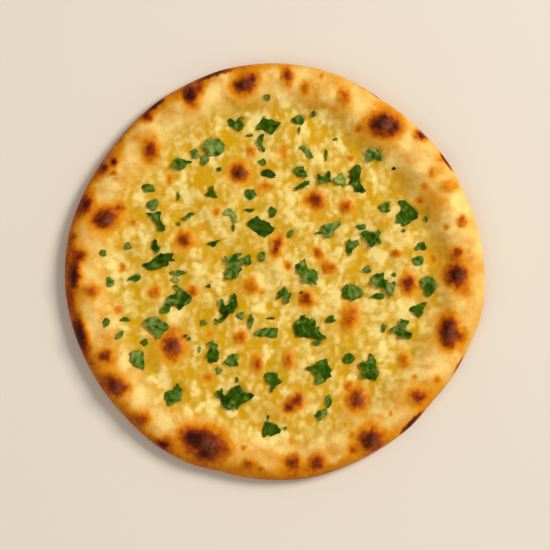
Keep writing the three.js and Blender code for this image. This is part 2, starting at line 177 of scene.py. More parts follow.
# How each herb leaf that has a CAD node is cut: name, crumple, tone from 0 to 1, and its outline in mm
# about its middle.
LEAVES = [
    ("herb_fork_01", 0.6, 0.35, [
        (-2.7, 3.0), (-4.5, 1.6), (-3.9, -0.9), (-1.8, -2.4), (0.3, -3.5), (3.0, -5.0), (3.6, -3.7),
        (5.2, -0.6), (4.2, 0.6), (4.8, 3.0), (3.0, 3.3), (1.5, 2.7), (0.4, 0.4), (-1.1, 1.8)]),
    ("herb_curl_01", 0.3, 0.25, [
        (-2.7, 5.3), (-1.8, 3.3), (0.3, 3.0), (2.6, 2.7), (4.2, 1.7), (6.8, 1.2), (5.9, -0.4),
        (4.5, -2.1), (3.3, -3.7), (1.7, -5.5), (0, -4.8), (-1.5, -3.6), (-4.5, -2.6), (-7.2, -2.8),
        (-6.6, -0.3), (-5.4, 1.2), (-4.2, 2.7), (-3.5, 3.5)]),
    ("herb_shred_01", 0.5, 0.3, [
        (2.1, 4.9), (1.8, 2.1), (1.2, 0.2), (1.5, -2.0), (3.0, -3.6), (3.0, -5.2), (1.5, -5.2),
        (0.4, -3.2), (-0.7, -1.6), (-1.6, 0.2), (-1.4, 2.0), (-0.4, 4.2)]),
    ("herb_fan_01", 1.0, 0.65, [
        (-1.9, 5.6), (-0.7, 3.9), (0.6, 4.2), (2.4, 4.3), (3.9, 3.0), (5.4, 1.5), (6.1, -0.3),
        (5.8, -2.2), (4.8, -3.9), (3.0, -5.1), (1.2, -5.5), (-1.2, -5.2), (-3.3, -5.3), (-4.6, -3.6),
        (-5.5, -1.4), (-5.1, 0.6), (-4.3, 2.6), (-2.8, 3.6)]),
    ("herb_bit_01", 0.7, 0.45, [
        (-2.3, 1.3), (-0.6, 1.9), (0.9, 3.0), (2.2, 1.6), (2.4, 0.2), (3.0, -1.6), (2.2, -3.1),
        (0.6, -2.5), (-0.9, -3.2), (-1.4, -1.0)]),
    ("herb_fan_02", 0.7, 0.35, [
        (-6, 0.2), (-4.4, 0.6), (-3.4, 3.3), (-1.6, 3.2), (0.4, 2.4), (3.4, 1.9), (6, 1.4), (5.6, 0.4),
        (3.6, 0.2), (2.6, -1.6), (0.2, -3.4), (-2, -3.2), (-4.4, -1.6)]),
    ("herb_bit_02", 0.8, 0.45, [
        (-3.8, 0), (-2.4, 0.9), (-0.9, 1.4), (0.3, 2.5), (2.4, 2.4), (3.7, 1.2), (4.1, -0.4), (3.3, -2.2),
        (2.1, -3.3), (1.2, -2.3), (-0.9, -2.4), (-2.7, -1.5)]),
    ("herb_shred_02", 0.5, 0.45, [
        (-2.1, 3.9), (-0.9, 3.0), (1.2, 1.5), (2.4, 0), (3.0, -1.8), (4.1, -3.7), (2.1, -4.0),
        (0.6, -3.0), (-0.6, -1.2), (-1.8, 0), (-3, 1.2), (-4.3, 1.8), (-3.3, 3.1)]),
    ("herb_fan_03", 1.0, 0.6, [
        (-3.3, 3.7), (-0.6, 3.5), (1.8, 3.4), (3.5, 2.1), (3.9, 0), (4.6, -3.2), (3.0, -3.6), (1.8, -2.6),
        (0.3, -1.4), (-0.3, -3.6), (-1.5, -3.0), (-2.2, -4.4), (-3.3, -3.2), (-4.4, -3.9), (-4.5, -0.6),
        (-4.8, 1.2), (-4.2, 3.0)]),
    ("herb_bit_03", 0.4, 0.4, [
        (-3.7, 0.1), (-3.0, 1.6), (-1.8, 2.0), (0.6, 2.3), (2.7, 1.8), (3.6, 0), (4.0, -2.2), (2.4, -1.7),
        (0.6, -2.2), (-1.2, -2.0), (-2.7, -1.0)]),
    ("herb_bit_04", 0.6, 0.35, [
        (-3.4, 0.3), (-2.7, 1.5), (-0.9, 2.7), (0.3, 1.9), (1.2, 3.6), (2.7, 3.3), (3.5, 1.8), (3.3, 0),
        (2.4, -1.2), (2.4, -2.9), (0.3, -3.3), (-1.5, -2.1), (-2.7, -0.9)]),
    ("herb_shred_03", 0.5, 0.35, [
        (-6.2, 4.3), (-3.6, 4.6), (-1.2, 4.2), (0.2, 5.6), (2.4, 5.2), (2.4, 3.4), (1.8, 1.2),
        (3.0, -0.7), (4.6, -3.6), (4.8, -5.2), (3.0, -5.9), (0.8, -5.2), (0.2, -2.2), (-1.5, 0),
        (-3.2, 2.2), (-4.8, 3.2)]),
    ("herb_bit_05", 0.2, 0.12, [
        (-4.2, 1.5), (-3.0, 2.8), (-0.6, 3.0), (1.5, 2.3), (2.7, 1.2), (3.9, -0.4), (3.0, -1.7),
        (0.9, -1.9), (-1.2, -1.0), (-3.6, -0.8), (-4.5, 0.3)]),
    ("herb_wedge_01", 0.3, 0.3, [
        (-0.3, 4.0), (0.9, 3.3), (0.9, 0.9), (2.1, -0.9), (3.3, -3.0), (1.5, -3.0), (-0.3, -2.4),
        (-2.7, -2.1), (-4.1, -0.9), (-2.4, -0.3), (-1.5, 0.9), (-1.8, 3.0)]),
    ("herb_bit_06", 0.3, 0.32, [
        (-3.0, 2.8), (-0.9, 3.0), (1.8, 2.5), (2.1, 1.2), (3.8, -0.6), (2.4, -0.9), (1.2, -2.4),
        (-0.6, -3.3), (-1.8, -2.3), (-3.0, -1.6), (-3.3, 0.9)]),
    ("herb_shred_04", 0.3, 0.4, [
        (-4.4, -0.9), (-1.5, -0.5), (-0.3, 0.7), (0.6, 1.9), (2.7, 2.5), (4.6, 1.2), (3.0, 0.6),
        (1.8, -0.6), (0.2, -1.5), (-0.6, -2.6), (-1.8, -1.9)]),
    ("herb_bit_07", 0.6, 0.75, [
        (-3.8, 1.8), (-2.4, 3.3), (-0.9, 4.3), (0.6, 3.6), (1.5, 2.4), (2.8, 1.5), (3.8, -0.3),
        (3.0, -1.8), (3.8, -4.0), (2.4, -3.9), (1.1, -2.7), (0.9, -0.9), (-0.6, 0.3), (-3.0, 0)]),
    ("herb_curl_02", 0.2, 0.12, [
        (-8.4, 1.2), (-7.4, 3.0), (-5.8, 4.2), (-4.2, 4.8), (-2.7, 6.1), (-1.4, 4.6), (-0.3, 3.6),
        (2.4, 2.7), (4.5, 1.8), (5.4, 0.3), (7.2, -1.2), (6.3, -3.0), (4.8, -4.2), (3.0, -5.0),
        (1.8, -6.3), (0, -5.3), (-1.8, -4.8), (-3.3, -3.3), (-5.4, -2.1), (-6.7, -0.3), (-7.9, 0)]),
    ("herb_fan_04", 0.7, 0.4, [
        (-3.8, 0.4), (-3.4, 2.6), (-1.2, 2.9), (1.4, 3.4), (1.7, 1.4), (3.0, -0.2), (3.9, -2.4),
        (2.6, -3.3), (0.2, -2.2), (-1.2, -2.8), (-2.8, -1.6)]),
    ("herb_fan_05", 0.7, 0.4, [
        (-4.2, -1.7), (-3.6, -0.1), (-1.6, 0.3), (-0.4, 1.6), (1.6, 2.8), (4.4, 2.6), (3.9, 0.8),
        (2.2, 0.2), (0.6, -1.2), (-1.6, -1.3), (-3.2, -2.9)]),
    ("herb_fan_06", 0.9, 0.4, [
        (-3.6, 2.6), (-1.8, 2.3), (-1, 0.9), (0.8, 0.7), (2, 2.4), (3.1, 4.5), (4.1, 3.4), (4.1, 0.9),
        (4.4, -2.4), (3, -2.4), (1.5, -1.4), (0.4, -3.2), (-2.6, -2.9), (-3.1, 0)]),
    ("herb_bit_08", 0.7, 0.95, [
        (-3.7, 0), (-2.4, 1.5), (-0.6, 2.4), (0.6, 3.9), (2.1, 3.8), (2.4, 2.1), (3.4, 0.6), (3.5, -1.8),
        (3.7, -3.2), (2.4, -3.8), (1.2, -2.4), (-0.6, -2.5), (-2.4, -1.5)]),
    ("herb_curl_03", 0.6, 0.2, [
        (-0.4, 9.0), (1.7, 7.4), (1.9, 4.8), (1.5, 2.4), (1.5, -0.6), (2.1, -2.7), (3.6, -4.5),
        (4.8, -6.2), (3.6, -7.4), (1.2, -6.8), (-1.5, -6.9), (-1.8, -4.2), (-3.0, -2.4), (-4.8, -2.8),
        (-4.7, -0.9), (-3.6, 0.6), (-4.9, 2.3), (-3.6, 3.2), (-4.4, 5.5), (-2.8, 6.2), (-1.8, 8.0)]),
    ("herb_bit_09", 0.5, 0.4, [
        (-3.9, -0.6), (-3.3, 0.9), (-1.2, 1.8), (1.2, 3.0), (3.6, 2.9), (2.4, 1.7), (2.7, 0), (1.8, -1.2),
        (3.3, -1.9), (1.8, -3.1), (-0.6, -3.1), (-2.4, -2.1)]),
    ("herb_fan_07", 0.7, 0.55, [
        (-6.0, 0.9), (-5.1, 2.7), (-2.4, 3.5), (0.6, 3.9), (2.4, 4.8), (4.5, 5.1), (5.4, 3.6), (4.2, 1.5),
        (2.7, 0.6), (1.3, 0), (1.2, -2.4), (0.4, -4.1), (-1.4, -3.6), (-2.6, -5.1), (-3.2, -3.7),
        (-3.8, -2.1), (-5.4, -0.6)]),
    ("herb_curl_04", 1.0, 0.35, [
        (-5.9, 3.0), (-4.2, 3.6), (-1.5, 3.3), (0, 3.0), (1.8, 2.1), (3.0, 4.1), (4.8, 3.7), (5.1, 1.8),
        (4.2, 0.6), (4.8, -1.2), (5.6, -3.3), (4.2, -4.2), (2.4, -3.4), (1.2, -4.8), (0, -6.6),
        (-1.2, -5.4), (-1.5, -3.6), (-3.3, -1.5), (-5.1, 0), (-6.2, 1.6)]),
    ("herb_fan_08", 0.8, 0.4, [
        (-2.4, 2.4), (-1.8, 4.5), (-0.6, 5.4), (0.4, 3.6), (2.4, 4.2), (4.0, 4.5), (4.6, 2.7), (5.4, 0.6),
        (4.0, 1.4), (3.0, 0.3), (1.5, -0.6), (0.4, -1.5), (0.3, -3.6), (-0.9, -4.8), (-2.1, -3.6),
        (-2.9, -1.5), (-2.8, 0.6)]),
    ("herb_shred_05", 0.4, 0.3, [
        (-0.3, 3.9), (1.1, 3.4), (0.9, 0.9), (2.2, -0.3), (3.2, -0.9), (2.3, -2.7), (1.4, -4.2),
        (0, -3.4), (-1.8, -2.1), (-2.1, 0), (-1.3, 2.1)]),
    ("herb_curl_05", 0.5, 0.15, [
        (-9.8, -0.3), (-7.8, 0), (-4.8, 0.3), (-4.7, 1.5), (-3.0, 2.7), (-1.2, 4.2), (0.3, 5.4),
        (2.1, 5.0), (5.1, 5.6), (7.2, 5.2), (7.3, 3.8), (6.3, 2.4), (8.8, 1.0), (6.0, 1.1), (4.5, 0.6),
        (4.8, -0.6), (3.9, -2.4), (1.8, -1.5), (0.3, -3.4), (-1.2, -2.6), (-3.0, -4.1), (-6.0, -4.1),
        (-8.4, -3.0), (-9.9, -2.1)]),
    ("herb_bit_10", 0.6, 0.5, [
        (-4.2, -1.5), (-3.3, 0.3), (-1.2, 1.2), (1.2, 2.2), (3.0, 2.4), (3.7, 0.6), (2.7, -1.2),
        (1.2, -2.3), (-0.6, -1.5), (-2.1, -1.3)]),
    ("herb_bit_11", 0.3, 0.3, [
        (-4.2, 0), (-2.4, 1.2), (0, 1.7), (1.5, 2.3), (3.8, 2.4), (2.1, 0.9), (0.3, -1.7), (-1.8, -0.8)]),
    ("herb_curl_06", 1.0, 0.4, [
        (-8.0, 5.5), (-6, 4.9), (-3.3, 5.3), (-1.2, 6.5), (2.4, 7.5), (2.7, 5.8), (0.6, 4.6), (-0.9, 3.0),
        (2.4, 4.1), (5.4, 4.8), (6.6, 6.6), (7.6, 5.4), (7.7, 3.3), (8.4, 1.2), (7.0, -0.3), (5.2, 0.7),
        (3.0, 1.2), (1.2, 0.3), (0.2, -0.6), (2.4, -0.9), (3.0, -2.4), (1.2, -3.6), (0.9, -6.0),
        (-1.2, -7.8), (-3.4, -7.0), (-6.3, -7.9), (-6, -5.4), (-6.6, -3.0), (-4.5, -1.5), (-4.6, 0.6),
        (-5.4, 2.4), (-6.6, 3.8)]),
    ("herb_curl_07", 1.0, 0.5, [
        (-6.3, 2.7), (-4.8, 3.6), (-3.0, 3.9), (-2.1, 5.4), (-0.6, 7.3), (-0.7, 4.5), (-0.2, 3.3),
        (0.4, 0.9), (2.1, 0), (3.9, 0.6), (5.4, -0.6), (6.3, -2.7), (6.5, -5.1), (5.3, -6.6), (5.6, -8.2),
        (4.4, -8.9), (3.8, -7.4), (1.8, -7.8), (-0.6, -7.4), (-2.1, -6.4), (-2.1, -4.2), (-3.0, -2.4),
        (-5.1, -0.9), (-6.5, 1.2)]),
    ("herb_wedge_02", 0.3, 0.3, [
        (-6.0, 6.8), (-4.8, 7.6), (-2.1, 7.8), (-0.6, 6.5), (1.2, 5.1), (3.0, 3.6), (4.8, 1.5), (5.8, 0),
        (4.9, -1.2), (5.8, -2.1), (3.6, -3.3), (1.8, -4.2), (0.3, -5.7), (-1.8, -7.0), (-3.6, -6.6),
        (-4.2, -5.1), (-6.5, -5.4), (-6.3, -2.7), (-6.1, 0), (-4.2, 1.8), (-3.4, 3.6), (-5.1, 5.5)]),
    ("herb_bit_12", 0.3, 0.5, [
        (-3.9, -0.1), (-2.8, 1.2), (-1.1, 1.7), (1.3, 2.4), (2.6, 1.0), (2.9, -0.7), (2.0, -2.8),
        (0.1, -3.6), (-2.2, -3.3), (-2.9, -1.6)]),
    ("herb_curl_08", 0.9, 0.35, [
        (-6.2, -0.6), (-4.5, 1.6), (-1.8, 2.2), (0, 2.6), (0.3, 4.2), (-1.2, 5.6), (-2.8, 6.1),
        (-2.2, 7.2), (0.2, 6.7), (1.9, 5.2), (3.0, 3.9), (4.8, 3.0), (6.9, 1.2), (7.9, -0.9), (6.8, -3.0),
        (4.8, -3.8), (3.0, -5.1), (1.2, -7.0), (-0.3, -6.5), (-0.7, -4.4), (-3, -4.0), (-5.3, -3.7),
        (-6.2, -2.4)]),
    ("herb_curl_09", 1.0, 0.5, [
        (-6.9, 2.7), (-6.6, 4.7), (-4.2, 6.0), (-1.8, 6.7), (0.3, 6.5), (1.5, 5.3), (2.4, 4.2),
        (3.9, 3.4), (5.4, 3.0), (6.8, 1.2), (6.4, -0.9), (4.8, -1.2), (3.9, -2.1), (3.0, -4.2),
        (2.0, -6.2), (0.4, -5.1), (0.2, -3.7), (-2.1, -3.4), (-3.0, -1.5), (-4.2, 0), (-6.0, 1.2)]),
    ("herb_curl_10", 0.8, 0.25, [
        (-3.8, 0), (-2.9, 2.4), (-3.8, 5.1), (-2.6, 6.3), (-1.6, 4.5), (-1.0, 2.0), (0.6, 2.5),
        (2.4, 3.3), (2.6, 6.0), (3.6, 8.4), (4.6, 9.4), (5.5, 8.0), (5.8, 5.4), (6.6, 3.0), (6.3, 0.6),
        (4.8, -0.3), (3.9, -2.4), (2.4, -2.0), (1.1, -3.0), (0, -5.4), (-1.6, -7.2), (-4.2, -7.7),
        (-6.7, -6.5), (-6.7, -5.1), (-4.8, -5.9), (-2.6, -5.1), (-1.8, -3.3), (-3.2, -2.1)]),
    ("herb_shred_06", 0.4, 0.35, [
        (-0.9, 4.8), (0.1, 3.0), (1.4, 1.3), (0.6, 0), (0.1, -1.8), (-0.8, -4.5), (-1.6, -2.1),
        (-2.2, -0.3), (-2.1, 1.2), (-1.3, 2.6)]),
    ("herb_wedge_03", 0.1, 0.5, [
        (-7.9, -0.1), (-7.6, 1.0), (-4.8, 2.5), (-1.8, 3.6), (1.8, 4.4), (6.2, 4.3), (5.9, 1.8),
        (5.3, -1.6), (2.4, -2.0), (0, -1.1), (-3.6, -1.1), (-6, -0.9)]),
    ("herb_fan_09", 0.6, 0.35, [
        (-4.2, -2.4), (-3.9, 0), (-3.0, 2.1), (-1.2, 3.3), (0.3, 5.2), (1.5, 3.3), (2.0, 1.5), (4.0, 1.2),
        (3.8, -0.6), (2.7, -2.1), (2.8, -4.2), (1.5, -5.0), (0.2, -3.4), (0.2, -0.9), (-0.9, 0),
        (-2.0, -1.6)]),
    ("herb_wedge_04", 0.5, 0.42, [
        (-5.8, 2.4), (-4.2, 4.2), (-0.6, 4.7), (2.4, 3.6), (4.8, 2.1), (5.6, 0.3), (6.5, -0.9),
        (4.8, -2.7), (2.4, -3.3), (0.3, -4.7), (-1.8, -3.8), (-4.8, -3.1), (-6.0, -1.2), (-5.7, 0.6)]),
    ("herb_curl_11", 0.8, 0.42, [
        (-6.9, 1.8), (-6.6, 4.8), (-4.2, 6.9), (-1.8, 6.2), (-0.4, 7.4), (0, 5.4), (-0.1, 3.6),
        (2.4, 2.8), (1.8, 1.5), (3.6, 1.1), (6.0, 2.4), (6.8, 0.6), (5.8, -1.8), (5.5, -4.8), (4.5, -7.0),
        (3.0, -5.3), (1.5, -4.8), (0.6, -2.4), (-1.2, -1.4), (-3.6, -1.6), (-5.4, 0.3)]),
    ("herb_wedge_05", 0.6, 0.45, [
        (-5.0, 3.0), (-4.0, 4.8), (-1.2, 6.4), (1.8, 5.3), (3.4, 3.6), (4.4, 1.2), (4.1, -0.6),
        (2.5, -2.4), (1.3, -4.5), (-0.3, -5.6), (-1.8, -4.6), (-2.6, -2.4), (-3.8, -0.6), (-4.1, 1.2)]),
    ("herb_wedge_06", 0.3, 0.35, [
        (-5.3, -0.6), (-4.7, 0.9), (-2.4, 1.8), (0, 2.7), (2.4, 3.7), (5.1, 4.0), (3.9, 2.4), (2.8, 0),
        (2.2, -2.4), (0.9, -3.9), (0, -5.2), (-0.9, -4.1), (-3.0, -2.1), (-4.2, -1.5)]),
    ("herb_curl_12", 0.9, 0.25, [
        (-5.8, 0), (-3.6, 1.8), (-1.2, 2.4), (0.3, 3.8), (0.2, 6.4), (2.4, 5.6), (5.4, 5.2), (5.0, 3.6),
        (3.3, 2.7), (3.0, 0), (4.8, -1.2), (6.6, -1.8), (6.5, -3.6), (5.6, -5.3), (3.0, -4.6), (0, -3.6),
        (-2.4, -2.1)]),
    ("herb_curl_13", 0.8, 0.28, [
        (-9.3, -0.6), (-8.8, 2.4), (-7.2, 3.6), (-5.6, 4.1), (-5.1, 7.0), (-3.9, 6.3), (-3.2, 7.5),
        (-2.5, 4.8), (-0.9, 5.2), (-0.1, 4.0), (0.7, 5.3), (1.5, 3.8), (2.1, 4.6), (3.0, 3.0), (3.3, 0),
        (5.3, 0), (4.8, -2.4), (6.3, -4.2), (8.8, -5.4), (9.5, -6.9), (6.6, -7.1), (3.0, -6.5), (0, -5.9),
        (-3.0, -5.5), (-6.0, -5.8), (-7.9, -4.7), (-8.7, -2.4)]),
    ("herb_bit_13", 0.4, 0.45, [
        (-2.0, -0.9), (-1.3, 0.9), (0.4, 2.1), (2.3, 2.4), (2.2, 0.6), (1.1, -1.4), (-0.3, -2.5),
        (-1.9, -1.9)]),
    ("herb_wedge_07", 0.6, 0.48, [
        (-3.9, 4.3), (-2.4, 5.1), (0.6, 5.4), (3.1, 4.9), (3.8, 2.4), (3.8, -0.6), (4.0, -4.2),
        (3.6, -5.9), (1.8, -4.5), (-0.6, -3.3), (-2.4, -1.8), (-3.8, 0), (-3.1, 2.1)]),
    ("herb_shred_07", 0.6, 0.35, [
        (-3.2, 5.0), (-0.6, 6.2), (0.1, 4.6), (1.5, 3.9), (1.6, 1.8), (3.1, -0.9), (2.8, -4.2),
        (1.9, -6.0), (0, -5.8), (-1.8, -6.9), (-3.1, -6.2), (-3.6, -3.6), (-3.3, 0), (-1.8, 2.1),
        (-1.6, 3.6)]),
    ("herb_bit_14", 0.6, 0.38, [
        (-4.7, -0.6), (-3.0, 0.9), (-1.8, 2.7), (0, 4.0), (3.3, 4.1), (3.9, 2.1), (3.0, 0), (4.0, -3.2),
        (1.8, -2.5), (-0.6, -2.9), (-3.0, -1.6)]),
    ("herb_fan_10", 0.4, 0.28, [
        (-5.0, 3.0), (-3.6, 4.8), (-0.6, 5.2), (3.0, 4.6), (2.9, 2.7), (4.6, 0.9), (5.5, -0.6),
        (4.0, -1.5), (2.4, -1.8), (1.8, -3.3), (0.4, -4.2), (0.1, -6.2), (-1.2, -6.2), (-0.9, -3.9),
        (-0.9, -1.8), (-3.2, 0), (-4.2, 2.1)]),
    ("herb_curl_14", 0.6, 0.35, [
        (-7.4, 1.5), (-6.9, 2.5), (-4.2, 2.4), (-1.2, 4.8), (1.8, 6.2), (4.2, 7.2), (4.9, 4.2),
        (6.0, 2.1), (7.3, 0.6), (6.2, -1.5), (7.1, -3.6), (4.8, -4.3), (3.6, -6.0), (0.6, -7.3),
        (-1.8, -7.0), (-2.2, -5.4), (-0.9, -3.9), (-2.7, -1.8), (-4.2, 0), (-6.6, 0.3)]),
    ("herb_fan_11", 0.5, 0.32, [
        (-6.0, 1.5), (-4.2, 3.0), (-0.6, 3.6), (0.3, 5.7), (-0.1, 7.9), (1.8, 7.2), (3.0, 5.4),
        (4.2, 3.0), (3.9, 0.6), (5.3, -2.4), (4.9, -4.8), (4.0, -7.8), (1.2, -6.8), (-1.8, -6.3),
        (-4.1, -6.0), (-4.1, -3.6), (-3.2, -1.2), (-4.8, 0)]),
    ("herb_fork_02", 0.9, 0.42, [
        (-4.6, -1.2), (-4.0, 1.8), (-2.1, 3.0), (-0.1, 2.1), (0.4, 4.4), (1.7, 5.4), (1.8, 7.4),
        (4.2, 7.2), (3.4, 5.8), (4.3, 4.8), (5.8, 3.6), (5.2, 1.5), (4.9, -1.2), (4.9, -3.3), (3.5, -2.4),
        (1.8, -3.9), (-0.6, -5.4), (-3.0, -4.3)]),
    ("herb_curl_15", 0.8, 0.25, [
        (-10.8, 2.4), (-10.5, 3.9), (-8.2, 3.8), (-7.1, 6.2), (-6.7, 3.6), (-7.0, 1.6), (-5.4, 1.2),
        (-3.6, 2.4), (-2.4, 4.8), (-0.6, 6.5), (2.4, 7.1), (4.2, 5.4), (4.8, 3.6), (6.6, 2.4), (9.0, 2.7),
        (11.0, 1.2), (9.6, -0.6), (7.2, -1.8), (4.8, -3.0), (2.6, -4.8), (1.5, -7.0), (-0.6, -6.0),
        (-3.6, -7.0), (-6.6, -5.5), (-7.8, -3.0), (-8.4, -0.6), (-9.9, 0.6)]),
    ("herb_wedge_08", 0.2, 0.2, [
        (-4.6, 0), (-3.3, 3.4), (-3.7, 4.6), (-1.2, 4.1), (1.5, 3.6), (3.6, 2.4), (5.0, 0.6), (5.7, -0.6),
        (5.2, -2.1), (3.0, -2.5), (1.2, -3.3), (0.3, -4.0), (-0.6, -3.0), (-2.4, -3.4), (-3.9, -4.7),
        (-4.6, -2.7)]),
    ("herb_shred_08", 0.4, 0.35, [
        (-0.3, 3.5), (0.9, 4.2), (1.4, 2.4), (2.3, 0), (1.7, -2.0), (0.5, -4.0), (-0.8, -4.0),
        (-0.2, -2.3), (-1.3, -0.6), (-1.7, 1.5)]),
    ("herb_bit_15", 0.6, 0.4, [
        (-3.8, 0.1), (-2.1, 1.3), (-1.2, 3.2), (0, 2.5), (1.2, 3.5), (3.1, 3.2), (3.7, 0.7), (3.1, -0.4),
        (1.2, -1.4), (-0.3, -3.3), (-1.5, -1.6), (-3.0, -0.8)]),
]

# Small leaves and flecks with no node of their own: middle x and y, width, length, turn in degrees, tone.
FLECKS = [
    (-4, 97, 3.4, 4, 90, 0.4), (-39, 62, 5, 6, 60, 0.5), (-7, 61, 4.5, 4, 0, 0.4),
    (14, 79, 1.4, 4.5, 90, 0.6), (22, 88, 3, 3.5, 40, 0.4), (34, 74, 3, 1.6, 20, 0.5),
    (29, 65, 1.6, 7, 80, 0.5), (67, 57.5, 2.5, 2, 40, 0.3), (-54, 42, 2, 5, 80, 0.5),
    (-54, 26.5, 2.5, 2.5, 0, 0.5), (-14, 34, 6.5, 2, -20, 0.15), (-1, 33, 4.5, 6.5, 70, 0.3),
    (9, 21, 3.5, 4.5, 80, 0.4), (-82, 14, 4.5, 4.5, 30, 0.5), (-96, 10, 4, 4, 0, 0.5),
    (-92, -6, 4.5, 6, 50, 0.7), (-54, -1, 9.5, 3.2, 10, 0.6), (-7, 8, 4, 5.5, 100, 0.5),
    (52, 1, 5, 4.5, 20, 0.4), (85, 29, 2, 3.5, 90, 0.3), (72.5, 22.6, 2.4, 2, 0, 0.4),
    (82, 14, 7, 5, 30, 0.45), (67, -2, 3, 3, 0, 0.4), (-61, -21, 6, 5.5, 20, 0.4),
    (-37, -8.5, 2.6, 2.2, 0, 0.3), (-39.5, -29, 4, 3.5, 30, 0.5), (-19, -25, 5, 4.5, 130, 0.5),
    (61.5, -32, 3, 5.5, 80, 0.4), (31.5, -27, 6, 4.4, 20, 0.3), (-94, -29, 4, 5.5, 60, 0.4),
    (-83.5, -27, 6, 2.4, 30, 0.4), (-73, -40, 4, 4.5, 0, 0.5), (-48, -38, 2.4, 2.4, 0, 0.5),
    (-42, -44, 1.6, 4, 60, 0.5), (-31, -56, 3.5, 4.5, 60, 0.5), (41.5, -49, 7, 6, 30, 0.4),
    (-3.5, -82.5, 1.4, 4, 80, 0.4), (6, -88, 2.4, 2, 0, 0.4), (-21, -61, 1.6, 4, 60, 0.4),
    (15, -12, 2, 1.6, 0, 0.2), (24.8, 21.4, 4.4, 1.6, 25, 0.3), (48.6, 24.6, 6.0, 3.4, -15, 0.45),
    (57.8, -14.2, 8.0, 3.6, 8, 0.35), (-55.2, -4.8, 4.8, 4.2, 20, 0.85),
    (23.7, -40.5, 5.0, 3.4, -20, 0.5), (-50, -36.5, 2.2, 2.0, 0, 0.1), (-33, -42, 2.4, 2.2, 0, 0.2),
    (-2, -26.5, 5.5, 1.3, 15, 0.3), (-31, 57, 3.0, 2.4, -30, 0.3), (-23, 24, 1.4, 4.4, -35, 0.25),
    (-14, 76, 4.4, 1.6, 10, 0.3),
]


def rgba(hex_colour):
    """The linear colour of an sRGB hex value, opaque."""
    parts = [int(hex_colour[i:i + 2], 16) / 255 for i in (1, 3, 5)]
    return tuple(c / 12.92 if c <= 0.04045 else ((c + 0.055) / 1.055) ** 2.4 for c in parts) + (1.0,)


# ---------------------------------------------------------------- settings

def length_mm(name, default, description):
    return bpy.props.FloatProperty(name=name, description=description, default=default, min=0.0)


def colour(name, hex_colour, description):
    return bpy.props.FloatVectorProperty(
        name=name, description=description, default=rgba(hex_colour), size=4, min=0.0, max=1.0,
        subtype="COLOR")


class NaanBreadSettings(bpy.types.PropertyGroup):
    middle_height: length_mm("Middle height", 8.6, "Thickness of the flat middle, in mm")
    rim_height: length_mm("Rim height", 14.0, "Height of the rim's crown, in mm")
    rim_inset: length_mm("Rim inset", 13.0, "From the edge in to the rim's crown, in mm")
    rim_width: length_mm("Rim width", 31.0, "From the edge in to the foot of the rim, in mm")
    edge_height: length_mm("Edge height", 5.6, "Height of the widest point, in mm")
    underside_inset: length_mm("Underside inset", 12.0, "From the edge in to where the bread rests, in mm")
    cheese_rise: length_mm("Cheese rise", 0.5, "Height of the lumps of melted cheese, in mm")
    top_rings: bpy.props.IntProperty(
        name="Top rings", description="Rings of faces on the top, from the middle to the edge", default=140,
        min=20, max=150)
    cheese_colour: colour("Cheese", "#F5E390", "Lumps of melted cheese")
    golden_colour: colour("Golden", "#D0A206", "Buttered dough between the lumps")
    # The butter colour also paints shade into the hollows and onto the rim's inner slope.
    butter_and_shade_colour: colour("Butter", "#C08C04", "Pools of browned butter")
    dough_colour: colour("Dough", "#D88E18", "Baked dough of the rim")
    pale_dough_colour: colour("Pale dough", "#F6D988", "Floury, hardly browned dough of the rim")
    char_colour: colour("Char", "#4E2008", "Burnt underside and edge")
    # The crown colour is a painted highlight on the crowns of the big blisters.
    blister_highlight_colour: colour("Crown", "#A8603A", "Rubbed crowns of the big blisters")


class NaanHerbSettings(bpy.types.PropertyGroup):
    cell: length_mm("Cell", 0.42, "Size of a face on a leaf, in mm")
    thickness: length_mm("Leaf thickness", 0.28, "Thickness of a leaf, in mm")
    crumple: length_mm("Crumple", 2.0, "How far the most crumpled leaf rises and falls, in mm")
    dark_colour: colour("Dark green", "#0C1E00", "Folded and shaded leaf")
    leaf_colour: colour("Leaf green", "#3C6000", "Upper face of a fresh leaf")
    # The pale green paints the highlight on the fold ridges, as well as the dull underside's own colour.
    pale_and_highlight_colour: colour("Pale green", "#93A957", "Ridges and the dull underside of a leaf")


class NaanStageSettings(bpy.types.PropertyGroup):
    floor_colour: colour("Floor", "#E2DED8", "Plain pale floor")
    key_power: bpy.props.FloatProperty(name="Key power", description="Main lamp", default=62.0, unit="POWER")
    fill_power: bpy.props.FloatProperty(name="Fill power", description="Soft lamp", default=3.0, unit="POWER")
    world_strength: bpy.props.FloatProperty(
        name="Surrounding light", description="Brightness of the pale surroundings", default=0.38, min=0.0)
    view_width: length_mm("View width", 310.2, "Width of the view at the bread, in mm")
    camera_height: bpy.props.FloatProperty(
        name="Camera height", description="Height of the camera over the bread", default=1.6, unit="LENGTH")


# ---------------------------------------------------------------- fields over the bread, in mm

# Each pattern has a seed of its own, so that no two of them repeat each other.

def soft_noise(x, y, size, seed):
    """Smooth noise from -1 to 1, with lumps about this size across."""
    table = np.random.default_rng(seed).uniform(-1, 1, (64, 64))
    u, v = x / size + 17.3, y / size + 9.1
    i, j = np.floor(u).astype(int), np.floor(v).astype(int)
    fu, fv = u - i, v - j
    fu, fv = fu * fu * (3 - 2 * fu), fv * fv * (3 - 2 * fv)
    near = table[i % 64, j % 64] * (1 - fu) + table[(i + 1) % 64, j % 64] * fu
    far = table[i % 64, (j + 1) % 64] * (1 - fu) + table[(i + 1) % 64, (j + 1) % 64] * fu
    return near * (1 - fv) + far * fv


def rich_noise(x, y, size, seed, octaves=3):
    """Noise with finer noise on it, from about -1 to 1."""
    total, share = 0.0, 1.0
    for k in range(octaves):
        turn = 0.9 * k + 0.4
        a = x * math.cos(turn) - y * math.sin(turn)
        b = x * math.sin(turn) + y * math.cos(turn)
        total = total + share * soft_noise(a, b, size / 2 ** k, seed + k)
        share *= 0.55
    return total / 1.4


